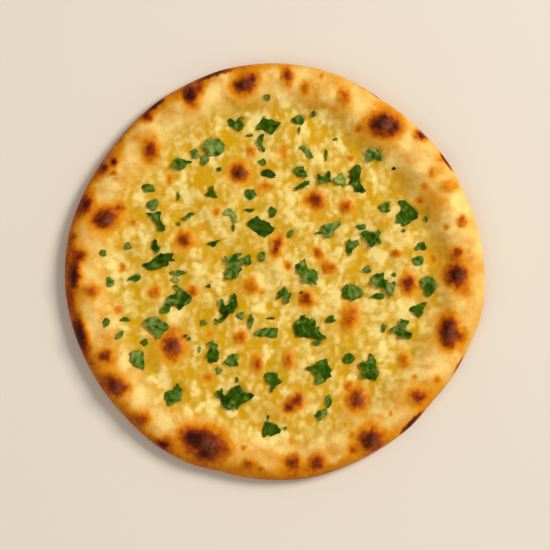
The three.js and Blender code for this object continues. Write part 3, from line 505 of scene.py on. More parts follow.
def nearest_lump(x, y, size, seed):
    """Distance to the nearest of many scattered points, as a share of their spacing."""
    table = np.random.default_rng(seed).uniform(0.1, 0.9, (64, 64, 2))
    i, j = np.floor(x / size).astype(int), np.floor(y / size).astype(int)
    nearest = np.full(np.shape(x), 9.0)
    for di in (-1, 0, 1):
        for dj in (-1, 0, 1):
            jitter = table[(i + di) % 64, (j + dj) % 64]
            px, py = i + di + jitter[..., 0], j + dj + jitter[..., 1]
            nearest = np.minimum(nearest, np.hypot(x / size - px, y / size - py))
    return nearest


def smooth_step(low, high, value):
    """0 below low, 1 above high, and smooth between."""
    t = np.clip((value - low) / (high - low), 0, 1)
    return t * t * (3 - 2 * t)


def polar(x, y):
    """Distance from the middle, and direction in degrees."""
    return np.hypot(x, y), np.degrees(np.arctan2(y, x)) % 360


def around(table, degrees):
    """A value that a table gives by direction."""
    return np.interp(degrees, [row[0] for row in table], [row[1] for row in table])


def warped(x, y, reach, size, seed):
    """The same places pushed about, which breaks up straight and round outlines."""
    return x + reach * rich_noise(x, y, size, seed), y + reach * rich_noise(x, y, size, seed + 50)


def away_from(x, y, cx, cy, width, length, turn):
    """Distance from the middle of a turned oval, as a share of its radius."""
    c, s = math.cos(math.radians(turn)), math.sin(math.radians(turn))
    dx, dy = x - cx * SPREAD, y - cy * SPREAD
    return np.hypot((dx * c + dy * s) / (width / 2), (dy * c - dx * s) / (length / 2))


def patches(table, x, y):
    """How far each place lies in a table's soft-edged patches, from 0 to 1."""
    u, v = warped(x, y, 2.2, 7.0, 300)
    clear = np.ones(np.shape(x))
    for cx, cy, width, length, turn, strength in table:
        away = away_from(u, v, cx, cy, width, length, turn)
        clear *= 1 - strength * (1 - smooth_step(0.35, 1.45, away))
    return 1 - clear


def browning(x, y):
    """Darkness of the browned spots, from 0 to 1."""
    u, v = warped(x, y, 1.1, 3.2, 410)
    clear = np.ones(np.shape(x))
    for cx, cy, width, length, turn, darkness in SPOTS:
        away = away_from(u, v, cx, cy, width, length, turn)
        # A dark core with a brown halo, darkest in the middle.
        core = 0.72 / (1 + (away / 0.88) ** 3.8)
        halo = 0.16 * (1 - smooth_step(0.6, 2.5, away))
        middle = 0.16 / (1 + (away / 0.45) ** 4)
        clear *= 1 - np.clip(darkness * (core + halo) + middle * min(1, 1.6 * darkness), 0, 1)
    mottle = rich_noise(x, y, 2.6, 440, 3) * (0.3 + 0.7 * clear)
    return np.clip((1 - clear) * (1 + 0.3 * mottle), 0, 1)


def painted_blister_highlight(x, y):
    """Painted highlight on the crown of a big blister, a little to its lower right, from 0 to 1."""
    u, v = warped(x, y, 1.0, 2.4, 430)
    painted_highlight = np.zeros(np.shape(x))
    for cx, cy, width, length, _, darkness in SPOTS:
        if darkness > 0.7 and min(width, length) > 9:
            dx, dy = u - cx * SPREAD - 0.18 * width, v - cy * SPREAD + 0.08 * length
            away = np.hypot(dx / (0.24 * width), dy / (0.3 * length))
            painted_highlight = np.maximum(painted_highlight, 1 - smooth_step(0.3, 1.3, away))
    return painted_highlight


def cheese_lumps(x, y):
    """Melted, half run-together cheese: 1 on the lumps and 0 between them."""
    u, v = warped(x, y, 1.6, 5.0, 520)
    lumps = 1 - smooth_step(0.05, 0.8, nearest_lump(u, v, 4.8, 521))
    strands = rich_noise(u * 1.4, v * 0.85, 5.5, 523, 3)
    clouds = rich_noise(x, y, 15.0, 527, 2)
    fine = 0.2 * rich_noise(x, y, 2.0, 524, 2)
    return smooth_step(-0.06, 1.0, 0.34 * lumps + 0.42 * strands + 0.2 * clouds + fine + 0.26)


class Crust:
    """The bread's form, worked out from its settings. Places and heights are in mm."""

    def __init__(self, settings):
        self.s = settings

    def edge(self, degrees):
        return around(RIM_OUTLINE, degrees) * SPREAD

    def inset(self, x, y):
        radius, degrees = polar(x, y)
        return self.edge(degrees) - radius

    def smooth_height(self, inset, puff=0.0):
        s = self.s
        crown = s.rim_height + puff
        out = np.clip(1 - inset / s.rim_inset, 0, 1)
        rising = s.edge_height + (crown - s.edge_height) * np.sqrt(np.clip(1 - out * out, 0, 1))
        down = np.clip((inset - s.rim_inset) / (s.rim_width - s.rim_inset), 0, 1)
        falling = crown - (crown - s.middle_height) * (1 - np.cos(math.pi * down)) / 2
        return np.where(inset < s.rim_inset, rising, falling)

    def blister_rise(self, x, y):
        u, v = warped(x, y, 1.2, 5.0, 610)
        rise = np.zeros(np.shape(x))
        for cx, cy, width, length, height in BLISTERS:
            away = ((u - cx * SPREAD) / (width / 2)) ** 2 + ((v - cy * SPREAD) / (length / 2)) ** 2
            share = np.clip(1 - away, 0, 1)
            rise = np.maximum(rise, height * smooth_step(0, 1, share))
        return rise

    def rim_share(self, inset):
        """1 on the rim's crown and 0 in the middle of the bread."""
        return 1 - smooth_step(self.s.rim_inset, self.s.rim_width * 0.95, inset)

    def top(self, x, y, fine=True):
        """Height of the top. Without fine, the lumps and grain are left out."""
        inset = self.inset(x, y)
        rim = self.rim_share(inset)
        puff = 1.3 * rich_noise(x, y, 24.0, 620, 2) * rim
        swell = 0.55 * (np.sin(x / 9.5 + 0.6) * np.cos(y / 11 - 0.4) + 0.6 * np.sin((x + y) / 6.5 + 1.1))
        swell = swell + 0.5 * rich_noise(x, y, 9.0, 630, 2)
        rise = swell + self.blister_rise(x, y)
        if fine:
            lumps = cheese_lumps(x, y) - 0.5
            rise = rise + self.s.cheese_rise * lumps * (1 - 0.75 * rim)
            rise = rise + 0.1 * rich_noise(x, y, 2.2, 640, 2) * (1 - 0.5 * rim)
        fade = smooth_step(0, self.s.rim_inset / 3, inset)
        return self.smooth_height(inset, puff * fade) + fade * rise


# ---------------------------------------------------------------- making pieces

def deselect_all():
    if bpy.context.object and bpy.context.object.mode != "OBJECT":
        bpy.ops.object.mode_set(mode="OBJECT")
    bpy.ops.object.select_all(action="DESELECT")


def take(piece):
    """Makes a piece the only selected and active one."""
    deselect_all()
    piece.select_set(True)
    bpy.context.view_layer.objects.active = piece
    return piece


def places(mesh):
    """The mesh's points in its own units, one row each."""
    flat = np.empty(len(mesh.vertices) * 3)
    mesh.vertices.foreach_get("co", flat)
    return flat.reshape(-1, 3)


def places_mm(mesh):
    return places(mesh) / MM


def set_places_mm(mesh, points):
    mesh.vertices.foreach_set("co", (points * MM).ravel())
    mesh.update()


def select_points(mesh, chosen):
    """Selects these points and nothing else, before edit mode is entered."""
    mesh.polygons.foreach_set("select", np.zeros(len(mesh.polygons), dtype=bool))
    mesh.edges.foreach_set("select", np.zeros(len(mesh.edges), dtype=bool))
    mesh.vertices.foreach_set("select", chosen)


def set_mask(mesh, name, values):
    """Stores one number at each point, which the material reads by this name."""
    layer = mesh.attributes.new(name, "FLOAT", "POINT")
    layer.data.foreach_set("value", np.asarray(values, dtype=np.float32))


def finish_piece(piece, material, slot, *nodes):
    """Shades a piece smooth, gives it its material, ties it to the body and hides the nodes it stands for."""
    take(piece)
    bpy.ops.object.shade_smooth()
    piece.data.materials.clear()
    piece.data.materials.append(material)
    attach(piece, BODY)
    if nodes:
        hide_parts(*nodes)


def square_to_disc(u, v):
    """Square rings onto round rings of the same spacing. Gives share of the radius and direction."""
    ring = np.maximum(np.abs(u), np.abs(v))
    safe = np.where(ring > 1e-9, ring, 1)
    side = np.abs(u) >= np.abs(v)
    turn = np.where(side, v / safe, -u / safe) * (math.pi / 4)
    start = np.where(side, np.where(u > 0, 0, math.pi), np.where(v > 0, math.pi / 2, -math.pi / 2))
    turn = np.where(side & (u < 0), -turn, turn)
    turn = np.where(~side & (v < 0), -turn, turn)
    return ring, start + turn


def add_disc(name, rings):
    """A flat disc of even square faces, of radius 1, made from a grid."""
    deselect_all()
    bpy.ops.mesh.primitive_grid_add(x_subdivisions=2 * rings, y_subdivisions=2 * rings, size=2)
    disc = bpy.context.object
    disc.name = disc.data.name = name
    points = places(disc.data)
    share, direction = square_to_disc(points[:, 0], points[:, 1])
    points[:, 0], points[:, 1] = share * np.cos(direction), share * np.sin(direction)
    disc.data.vertices.foreach_set("co", points.ravel())
    return disc


def roll_edge_under(rings):
    """Extrudes the open edge of a unit disc into rings, which the crust then places."""
    bpy.ops.object.mode_set(mode="EDIT")
    bpy.ops.mesh.select_mode(type="EDGE")
    bpy.ops.mesh.select_all(action="DESELECT")
    bpy.ops.mesh.select_non_manifold()
    for _ in range(rings):
        bpy.ops.mesh.extrude_edges_move(TRANSFORM_OT_translate={"value": (0, 0, -1.0)})
    bpy.ops.object.mode_set(mode="OBJECT")


def bridge_open_edges():
    bpy.ops.object.mode_set(mode="EDIT")
    bpy.ops.mesh.select_mode(type="EDGE")
    bpy.ops.mesh.select_all(action="DESELECT")
    bpy.ops.mesh.select_non_manifold()
    bpy.ops.mesh.bridge_edge_loops()
    bpy.ops.mesh.select_all(action="SELECT")
    bpy.ops.mesh.normals_make_consistent(inside=False)
    bpy.ops.object.mode_set(mode="OBJECT")


EDGE_RINGS = 11  # round the rolled edge, from its widest point to the resting face
REST_RINGS = 36  # on the underside
REST_SHARE = 0.86  # of the edge's radius, where the underside's own faces begin
STEEP_SHARE = 0.14  # of the top's rings, which cover the steep part outside the rim's crown


def place_crust(mesh, crust):
    """Moves a unit disc with its extruded rings and underside to the bread's form. Returns which points
    are on top, which are on the rolled side and which are on the resting face."""
    s = crust.s
    points = places(mesh)
    share, degrees = polar(points[:, 0], points[:, 1])
    depth = -points[:, 2]
    radians = np.radians(degrees)
    edge = crust.edge(degrees)
    is_rest = depth > EDGE_RINGS + 0.5
    is_roll = (depth > 0.5) & ~is_rest
    is_top = depth < 0.5
    # On top, rings crowd towards the edge, where the crust is steep.
    from_edge = 1 - share
    quarter = np.clip(from_edge / STEEP_SHARE, 0, 1) * (math.pi / 2)
    inset = np.where(
        from_edge < STEEP_SHARE,
        s.rim_inset * (1 - np.cos(quarter)),
        s.rim_inset + (edge - s.rim_inset) * (from_edge - STEEP_SHARE) / (1 - STEEP_SHARE))
    turn = (depth / EDGE_RINGS) * (math.pi / 2)
    roll_inset = s.underside_inset * (1 - np.cos(turn))
    inset = np.where(is_roll, roll_inset, inset)
    radius = np.where(is_rest, share * edge * REST_SHARE, edge - inset)
    x, y = radius * np.cos(radians), radius * np.sin(radians)
    z = crust.top(x, y)
    z = np.where(is_roll, s.edge_height * (1 - np.sin(turn)), z)
    lift = 0.25 + 0.25 * rich_noise(x, y, 14.0, 700, 2)
    z = np.where(is_rest, lift * smooth_step(1.0, 0.9, share), z)
    set_places_mm(mesh, np.stack([x, y, z], axis=1))
    return is_top, is_roll, is_rest


SIDE_STRETCH = 1.4  # mm that noise moves for each mm down the side
WIDE_BURN = 2.0  # mm: a burnt stretch wider than this is hardly broken up


def laid_flat(crust, x, y, z, degrees):
    """The places with the steep side laid out flat, so that no border in noise runs straight down it."""
    flat = 1 - SIDE_STRETCH * (z - crust.s.edge_height) / crust.edge(degrees)
    return x * flat, y * flat


def burnt_edge(crust, x, y, z, is_top):
    """Char of the burnt stretches, from 0 to 1, fading in from the edge and down the side."""
    inset = crust.inset(x, y)
    degrees = polar(x, y)[1]
    u, v = laid_flat(crust, x, y, z, degrees)
    up_side = z / crust.s.edge_height
    scorch = smooth_step(-0.1, 1.4, up_side + 0.4 * rich_noise(u, v, 9.0, 745, 3))
    ragged_degrees = degrees + 1.5 * rich_noise(u, v, 12.0, 748, 2)
    patchy = smooth_step(-0.6, 0.6, rich_noise(u, v, 8.0, 747, 3))
    char = np.zeros(len(x))
    for start, stop, width, strength in BURNT_EDGE:
        along = np.sin(math.pi * np.clip((ragged_degrees - start) / (stop - start), 0, 1))
        reach = width * along ** 0.6 * (0.85 + 0.4 * rich_noise(u, v, 3.0, 740, 2)) + 0.05
        is_wide = width > WIDE_BURN
        fade_from = 0.6 if is_wide else 0.0
        across = np.where(is_top, 1 - smooth_step(fade_from * reach, reach, inset), scorch)
        broken = 0.7 + 0.3 * patchy if is_wide else 0.8 * patchy
        char = np.maximum(char, strength * smooth_step(0.0, 1.0, along) * across * broken)
    return char


def paint_crust(mesh, crust, is_top, is_roll, is_rest):
    """Stores what the crust's material mixes at each point, from 0 to 1."""
    points = places_mm(mesh)
    x, y, z = points.T
    inset = crust.inset(x, y)
    degrees = polar(x, y)[1]
    rim = np.where(is_top, crust.rim_share(inset), 1.0)
    cream = patches(CREAM_PATCHES, x, y)
    # Butter patches, partly painted shade in the hollows and on the rim's inner slope.
    butter_and_shade = patches(BUTTER_AND_SHADE_PATCHES, x, y)
    cheese = cheese_lumps(x, y)
    mottle = rich_noise(x, y, 11.0, 710, 3)
    melted = cheese * (0.8 + 0.3 * mottle) * (1 - 0.7 * butter_and_shade)
    cheese = np.clip(melted + (0.45 + 0.4 * cheese) * cream, 0, 1)
    butter_and_shade = np.clip(butter_and_shade * (0.75 + 0.5 * rich_noise(x, y, 5.0, 720, 3)) - 0.5 * cream, 0, 1)
    brown = np.where(is_rest, 0, browning(x, y))
    # The outer edge browns most; its amount by direction is partly painted shade on the side away from the
    # key lamp.
    edge_brown_and_shade = around(EDGE_BROWNING_AND_SHADE, degrees) * (1 + 0.35 * rich_noise(x, y, 12.0, 730, 3))
    ring = 1 - smooth_step(0.0, 9.0, inset + 3.5 * rich_noise(x, y, 9.0, 735, 3))
    ring = np.where(is_top, ring, 1.0)
    side = np.where(is_roll, smooth_step(0.0, crust.s.edge_height, z), is_top)
    brown = 1 - (1 - brown) * (1 - 0.52 * np.clip(edge_brown_and_shade, 0, 1) * ring)
    # The underside is browned in blotches and charred here and there.
    blotch = smooth_step(-0.1, 0.8, rich_noise(x, y, 19.0, 750, 2))
    under_brown = 0.22 + 0.5 * blotch
    under_char = 0.85 * smooth_step(0.3, 0.85, rich_noise(x, y, 16.0, 755, 2))
    brown = brown * side + np.maximum(under_brown, 0.35 * is_roll) * (1 - side)
    char = np.where(is_rest, under_char, burnt_edge(crust, x, y, z, is_top))
    u, v = laid_flat(crust, x, y, z, degrees)
    brown = np.maximum(brown, 0.95 * char * (1 + 0.15 * rich_noise(u, v, 2.6, 770, 3)))
    set_mask(mesh, "cheese", cheese)
    set_mask(mesh, "butter_and_shade", butter_and_shade)
    set_mask(mesh, "rim", np.clip(rim * (0.95 - 0.2 * cream), 0, 1))
    floury = 0.52 + 0.75 * rich_noise(x, y, 8.0, 760, 4) + 0.7 * cream - 0.6 * butter_and_shade
    set_mask(mesh, "floury", np.clip(floury, 0, 1) * side + 0.15 * (1 - side))
    set_mask(mesh, "browning", np.clip(brown, 0, 1))
    set_mask(mesh, "char", smooth_step(0.4, 1.1, char))
    # A painted highlight on the crowns of the big blisters.
    set_mask(mesh, "painted_highlight", np.where(is_top, painted_blister_highlight(x, y), 0))


# ---------------------------------------------------------------- materials

def add_node(tree, kind, settings=None, inputs=None):
    """Adds a node with its settings. An input is given a value or the output that feeds it."""
    made = tree.nodes.new(kind)
    for name, value in (settings or {}).items():
        setattr(made, name, value)
    for key, value in (inputs or {}).items():
        if isinstance(value, bpy.types.NodeSocket):
            tree.links.new(value, made.inputs[key])
        else:
            made.inputs[key].default_value = value
    return made


def new_material(name):
    """An empty material with its shader. Returns the material, its tree and the shader."""
    material = bpy.data.materials.new(name)
    material.use_nodes = True
    tree = material.node_tree
    tree.nodes.clear()
    shader = add_node(tree, "ShaderNodeBsdfPrincipled")
    add_node(tree, "ShaderNodeOutputMaterial", None, {"Surface": shader.outputs["BSDF"]})
    return material, tree, shader


# The colour mix node's own sockets, by number, because several of its sockets share a name.
MIX_FACTOR, MIX_A, MIX_B, MIX_RESULT = 0, 6, 7, 2


def stored(tree, name):
    """One of the numbers stored at the points of the mesh."""
    return add_node(tree, "ShaderNodeAttribute", {"attribute_name": name}).outputs["Fac"]


def mix_of(tree, factor, a, b, blend="MIX"):
    return add_node(tree, "ShaderNodeMix", {"data_type": "RGBA", "blend_type": blend},
                    {MIX_FACTOR: factor, MIX_A: a, MIX_B: b}).outputs[MIX_RESULT]


def math_of(tree, kind, a, b, c=0.5):
    return add_node(tree, "ShaderNodeMath", {"operation": kind}, {0: a, 1: b, 2: c}).outputs[0]


def range_of(tree, value, low, high, to_low=0.0, to_high=1.0, kind="SMOOTHSTEP"):
    """Moves a value from one range to another, and holds it there."""
    return add_node(tree, "ShaderNodeMapRange", {"interpolation_type": kind},
                    {0: value, 1: low, 2: high, 3: to_low, 4: to_high}).outputs[0]


def noise_of(tree, where, size_mm, detail=2.0, roughness=0.5):
    """Noise with lumps about this many mm across."""
    return add_node(tree, "ShaderNodeTexNoise", None,
                    {"Vector": where, "Scale": 1 / (size_mm * MM), "Detail": detail,
                     "Roughness": roughness}).outputs["Fac"]


def add_bumps(tree, shader, *layers):
    """Roughens a shader's surface. Each layer has a strength, a depth in mm and a pattern."""
    below = {}
    for strength, depth_mm, pattern in layers:
        bump = add_node(tree, "ShaderNodeBump", None,
                        {"Strength": strength, "Distance": depth_mm * MM, "Height": pattern, **below})
        below = {"Normal": bump.outputs["Normal"]}
    tree.links.new(below["Normal"], shader.inputs["Normal"])


def set_ramp(ramp, stops):
    """Gives a colour ramp its stops, as places and hex colours."""
    while len(ramp.elements) > 1:
        ramp.elements.remove(ramp.elements[-1])
    ramp.elements[0].position, ramp.elements[0].color = stops[0][0], rgba(stops[0][1])
    for place, hex_colour in stops[1:]:
        ramp.elements.new(place).color = rgba(hex_colour)


# From golden through orange and brown to nearly black, as baked starch and cheese darken.
BROWNING_STOPS = [
    (0.0, "#E8BC50"), (0.12, "#E2A22C"), (0.26, "#DA8C0A"), (0.42, "#C26C04"), (0.58, "#9C4206"),
    (0.74, "#782C08"), (0.88, "#541C08"), (1.0, "#38120A"),
]


def naan_crust_material(s):
    """Oven-baked wheat dough under melted cheese and browned butter: a low sheen where the butter lies,
    duller on the rim and dullest where it browned."""
    material, tree, shader = new_material("baked_naan_crust")
    mask = {name: stored(tree, name)
            for name in ("cheese", "butter_and_shade", "rim", "browning", "char", "painted_highlight", "floury")}
    where = add_node(tree, "ShaderNodeTexCoord").outputs["Object"]
    curds = noise_of(tree, where, 2.4, 3.0, 0.6)
    grain = noise_of(tree, where, 0.7)
    curd_shift = math_of(tree, "MULTIPLY_ADD", curds, 0.5, -0.27)

    # Cheese and butter in the middle, with painted shade where the butter patches lie in hollows; floury
    # dough on the rim.
    cheese = range_of(tree, math_of(tree, "ADD", mask["cheese"], curd_shift), 0.0, 1.0)
    butter_and_shade = math_of(tree, "MULTIPLY", mask["butter_and_shade"], range_of(tree, curds, 0.3, 0.7, 0.7, 1.0))
    base = mix_of(tree, cheese, s.golden_colour, s.cheese_colour)
    base = mix_of(tree, butter_and_shade, base, s.butter_and_shade_colour)
    floury = math_of(tree, "ADD", mask["floury"], curd_shift)
    dough = mix_of(tree, floury, s.dough_colour, s.pale_dough_colour)
    base = mix_of(tree, math_of(tree, "MULTIPLY", mask["rim"], 0.9), base, dough)

    # Browning, speckled by the curds and the grain.
    curd_speck = math_of(tree, "MULTIPLY_ADD", curds, 0.9, -0.45)
    grain_speck = math_of(tree, "MULTIPLY_ADD", grain, 0.5, -0.25)
    speck = math_of(tree, "ADD", curd_speck, grain_speck)
    speck_share = math_of(tree, "MULTIPLY_ADD", mask["browning"], 0.8, 0.08)
    brown = math_of(tree, "MULTIPLY_ADD", speck, speck_share, mask["browning"])
    ramp = add_node(tree, "ShaderNodeValToRGB", None, {"Fac": brown})
    set_ramp(ramp.color_ramp, BROWNING_STOPS)
    base = mix_of(tree, range_of(tree, brown, 0.0, 0.26), base, ramp.outputs["Color"])

    # Painted highlights on the blister crowns, then char, then the grain's own light and shade.
    painted_highlight = math_of(tree, "MULTIPLY", mask["painted_highlight"], range_of(tree, curds, 0.35, 0.65, 0.12, 0.5))
    base = mix_of(tree, painted_highlight, base, s.blister_highlight_colour)
    char = math_of(tree, "MULTIPLY", mask["char"], range_of(tree, curds, 0.35, 0.65, 0.4, 1.0))
    base = mix_of(tree, char, base, s.char_colour)
    base = mix_of(tree, 1.0, base, range_of(tree, grain, 0.25, 0.75, 0.93, 1.05), "MULTIPLY")
    tree.links.new(base, shader.inputs["Base Color"])

    rough = range_of(tree, mask["rim"], 0.0, 1.0, 0.36, 0.5)
    rough = math_of(tree, "MULTIPLY_ADD", mask["browning"], 0.12, rough)
    rough = math_of(tree, "MULTIPLY_ADD", curds, 0.2, math_of(tree, "ADD", rough, -0.1))
    tree.links.new(rough, shader.inputs["Roughness"])
    add_bumps(tree, shader, (0.35, 0.4, curds), (0.25, 0.15, grain))
    shader.inputs["IOR"].default_value = 1.45
    shader.inputs["Specular IOR Level"].default_value = 0.1
    shader.inputs["Subsurface Weight"].default_value = 0.12
    shader.inputs["Subsurface Radius"].default_value = (1.0, 0.5, 0.2)
    shader.inputs["Subsurface Scale"].default_value = 0.002
    return material


def herb_leaf_material(s):
    """Fresh chopped soft herb: dull green leaf, with a painted highlight on its ridges and painted shade in
    its folds, and fine veins 1.1 mm apart."""
    material, tree, shader = new_material("fresh_herb_leaf")
    where = add_node(tree, "ShaderNodeTexCoord").outputs["Object"]
    speckle = noise_of(tree, where, 2.2, 3.0)
    # Painted light and shade of the folds, paler on the ridges and darker in the folds, with the leaf's tone.
    level = math_of(tree, "MULTIPLY_ADD", speckle, 0.5, stored(tree, "painted_fold_light_and_veins"))
    level = math_of(tree, "ADD", level, stored(tree, "tone"))
    low = range_of(tree, level, 0.4, 1.0, kind="LINEAR")
    high = range_of(tree, level, 0.95, 1.6, kind="LINEAR")
    green = mix_of(tree, low, s.dark_colour, s.leaf_colour)
    green = mix_of(tree, high, green, s.pale_and_highlight_colour)
    tree.links.new(green, shader.inputs["Base Color"])
    cells = add_node(tree, "ShaderNodeTexVoronoi", {"feature": "DISTANCE_TO_EDGE"},
                     {"Vector": where, "Scale": 1 / (1.1 * MM)}).outputs["Distance"]
    veins = range_of(tree, cells, 0.0, 0.25, kind="LINEAR")
    add_bumps(tree, shader, (0.5, 0.25, veins), (0.4, 0.3, speckle))
    shader.inputs["Roughness"].default_value = 0.42
    shader.inputs["IOR"].default_value = 1.42
    shader.inputs["Specular IOR Level"].default_value = 0.06
    return material


# ---------------------------------------------------------------- herbs

LEAF_LIFT = 0.35  # mm from the crust's smooth form up to an uncrumpled leaf
LEAF_GAP = 0.12  # mm, the least that is kept between a leaf's points and the crust
FLECK_LOBES = 3
FLECK_NOTCH = 0.2  # depth of the notches between the lobes, as a share of the radius
FLECK_CORNERS = 72
FLECK_CRUMPLE = 0.3
ANY_PHASE = 6.28  # about a full turn, in radians


def fleck_outline(width, length, turn, seed):
    """A fleck's outline in mm about its own middle: rounded lobes, notches and ragged cuts."""
    rng = np.random.default_rng(seed)
    angle = np.linspace(0, 2 * math.pi, FLECK_CORNERS, endpoint=False)
    reach = 1 - FLECK_NOTCH * np.abs(np.cos(FLECK_LOBES * angle / 2)) ** 3
    for k in range(2, 7):
        reach = reach + rng.uniform(-0.11, 0.11) * np.cos(k * angle + rng.uniform(0, ANY_PHASE)) / (k / 3)
    reach = reach + 0.035 * np.cos(17 * angle + rng.uniform(0, ANY_PHASE))
    pointing = angle + math.radians(turn)
    points = np.stack([reach * np.cos(pointing), reach * np.sin(pointing)], axis=1)
    low, high = points.min(0), points.max(0)
    return (points - (low + high) / 2) / (high - low) * (width, length)


def ragged(corners, seed):
    """An outline with fine teeth and tears between its corners, as a knife and the leaf's edge leave it."""
    rng = np.random.default_rng(seed)
    points = []
    for start, stop in zip(corners, np.roll(corners, -1, axis=0)):
        span = stop - start
        steps = max(1, int(round(np.hypot(*span) / 0.8)))
        across = np.array([span[1], -span[0]]) / max(np.hypot(*span), 1e-9)
        points.append(start)
        for k in range(1, steps):
            points.append(start + span * k / steps + across * rng.uniform(-0.28, 0.22))
    return np.array(points)


def outline_distance(x, y, outline):
    """Distance to an outline, positive inside, and the nearest point on it."""
    start, stop = outline, np.roll(outline, -1, axis=0)
    span = stop - start
    px, py = x[:, None], y[:, None]
    t = ((px - start[:, 0]) * span[:, 0] + (py - start[:, 1]) * span[:, 1]) / (span ** 2).sum(1)
    t = np.clip(t, 0, 1)
    nx, ny = start[:, 0] + t * span[:, 0], start[:, 1] + t * span[:, 1]
    away = np.hypot(px - nx, py - ny)
    best = away.argmin(1)
    rows = np.arange(len(x))
    crosses = (start[:, 1] > py) != (stop[:, 1] > py)
    slope = np.where(np.abs(span[:, 1]) > 1e-12, span[:, 1], 1e-12)
    left = px < start[:, 0] + (py - start[:, 1]) * span[:, 0] / slope
    inside = (crosses & left).sum(1) % 2 == 1
    return np.where(inside, 1, -1) * away[rows, best], nx[rows, best], ny[rows, best]


def add_leaf_sheet(name, outline, cell):
    """A flat sheet of small square faces, cut to an outline given in mm about its middle."""
    size = outline.max(0) - outline.min(0) + 2 * cell
    cells = np.maximum(2, np.ceil(size / cell)).astype(int)
    deselect_all()
    bpy.ops.mesh.primitive_grid_add(x_subdivisions=int(cells[0]), y_subdivisions=int(cells[1]), size=2)
    sheet = bpy.context.object
    sheet.name = sheet.data.name = name
    points = places(sheet.data) * np.append(size / 2, 1)
    inside, near_x, near_y = outline_distance(points[:, 0], points[:, 1], outline)
    on_edge = np.abs(inside) < cell / 2
    points[on_edge, 0], points[on_edge, 1] = near_x[on_edge], near_y[on_edge]
    set_places_mm(sheet.data, points)
    select_points(sheet.data, inside <= -cell / 2)
    bpy.ops.object.mode_set(mode="EDIT")
    bpy.ops.mesh.select_mode(type="VERT")
    bpy.ops.mesh.delete(type="VERT")
    bpy.ops.mesh.select_all(action="SELECT")
    bpy.ops.mesh.delete_loose()
    bpy.ops.object.mode_set(mode="OBJECT")
    return sheet


def lay_leaf(sheet, crust, outline, middle, crumple, tone, seed, settings):
    """Crumples a flat sheet, lays it over the crust's lumps and gives it its thickness."""
    points = places_mm(sheet.data)
    local_x, local_y = points[:, 0], points[:, 1]
    inside = outline_distance(local_x, local_y, outline)[0]
    x, y = local_x + middle[0], local_y + middle[1]
    reach = max(np.ptp(local_x), np.ptp(local_y)) / 2
    height = settings.crumple * crumple * min(1, 0.35 + reach / 8)
    folds = 1 - 2 * np.abs(rich_noise(local_x, local_y, 4.6, seed, 2))
    folds = 0.6 * folds + 0.5 * rich_noise(local_x, local_y, 3.0, seed + 7, 2)
    lean = math.radians(37 * seed)
    along = local_x * math.cos(lean) + local_y * math.sin(lean)
    across = local_y * math.cos(lean) - local_x * math.sin(lean)
    ribs = rich_noise(along / 3, across, 1.7, seed + 11, 2)
    waves = 0.5 + 0.5 * rich_noise(local_x, local_y, 5.0, seed + 3, 1)
    curl = (1 - smooth_step(0.0, reach * 0.8, inside)) * waves
    rise = height * (folds + 0.9 * curl)
    gentle = crust.top(x, y, fine=False)
    z = np.maximum(gentle + LEAF_LIFT + rise, crust.top(x, y) + LEAF_GAP)
    set_places_mm(sheet.data, np.stack([x, y, z], axis=1))
    set_mask(sheet.data, "tone", np.full(len(x), tone))
    # Painted light and shade of the folds, with streaks along the veins.
    painted_fold_light_and_veins = 0.26 + 0.42 * folds * min(1, 0.3 + crumple) + 0.24 * ribs
    set_mask(sheet.data, "painted_fold_light_and_veins", np.clip(painted_fold_light_and_veins, 0, 1))
    take(sheet)
    thick = sheet.modifiers.new("Leaf thickness", "SOLIDIFY")
    thick.thickness = settings.thickness * MM
    thick.offset = 1.0
    bpy.ops.object.modifier_apply(modifier=thick.name)


# ---------------------------------------------------------------- operators

class NAAN_OT_bread(bpy.types.Operator):
    """Make the naan: one baked piece, with its rolled rim, blisters and melted cheese"""
    bl_idname = "naan.bread"
    bl_label = "Bread"

    def execute(self, context):
        settings = context.scene.naan_bread
        crust = Crust(settings)
        rest = add_disc("naan_rest", REST_RINGS)
        rest.location.z = -(EDGE_RINGS + 1)
        bpy.ops.object.transform_apply()
        naan = add_disc("naan", settings.top_rings)
        roll_edge_under(EDGE_RINGS)
        rest.select_set(True)
        bpy.context.view_layer.objects.active = naan
        bpy.ops.object.join()
        bridge_open_edges()
        sides = place_crust(naan.data, crust)
        paint_crust(naan.data, crust, *sides)
        finish_piece(naan, naan_crust_material(settings), "baked_naan", "naan_bread")
        return {"FINISHED"}


class NAAN_OT_leaves(bpy.types.Operator):
    """Lay the chopped herb leaves on the naan, one piece for each"""
    bl_idname = "naan.leaves"
    bl_label = "Herb leaves"

    def execute(self, context):
        settings = context.scene.naan_herbs
        crust = Crust(context.scene.naan_bread)
        material = herb_leaf_material(settings)
        for number, (node, crumple, tone, corners) in enumerate(LEAVES):
            low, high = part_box(node)
            middle = ((low.x + high.x) / 2 / MM, (low.y + high.y) / 2 / MM)
            outline = ragged(np.array(corners, dtype=float) * SPREAD, number)
            leaf = add_leaf_sheet(node.replace("herb", "leaf"), outline, settings.cell)
            lay_leaf(leaf, crust, outline, middle, crumple, tone, 20 * number, settings)
            finish_piece(leaf, material, "chopped_herb", node)
        return {"FINISHED"}


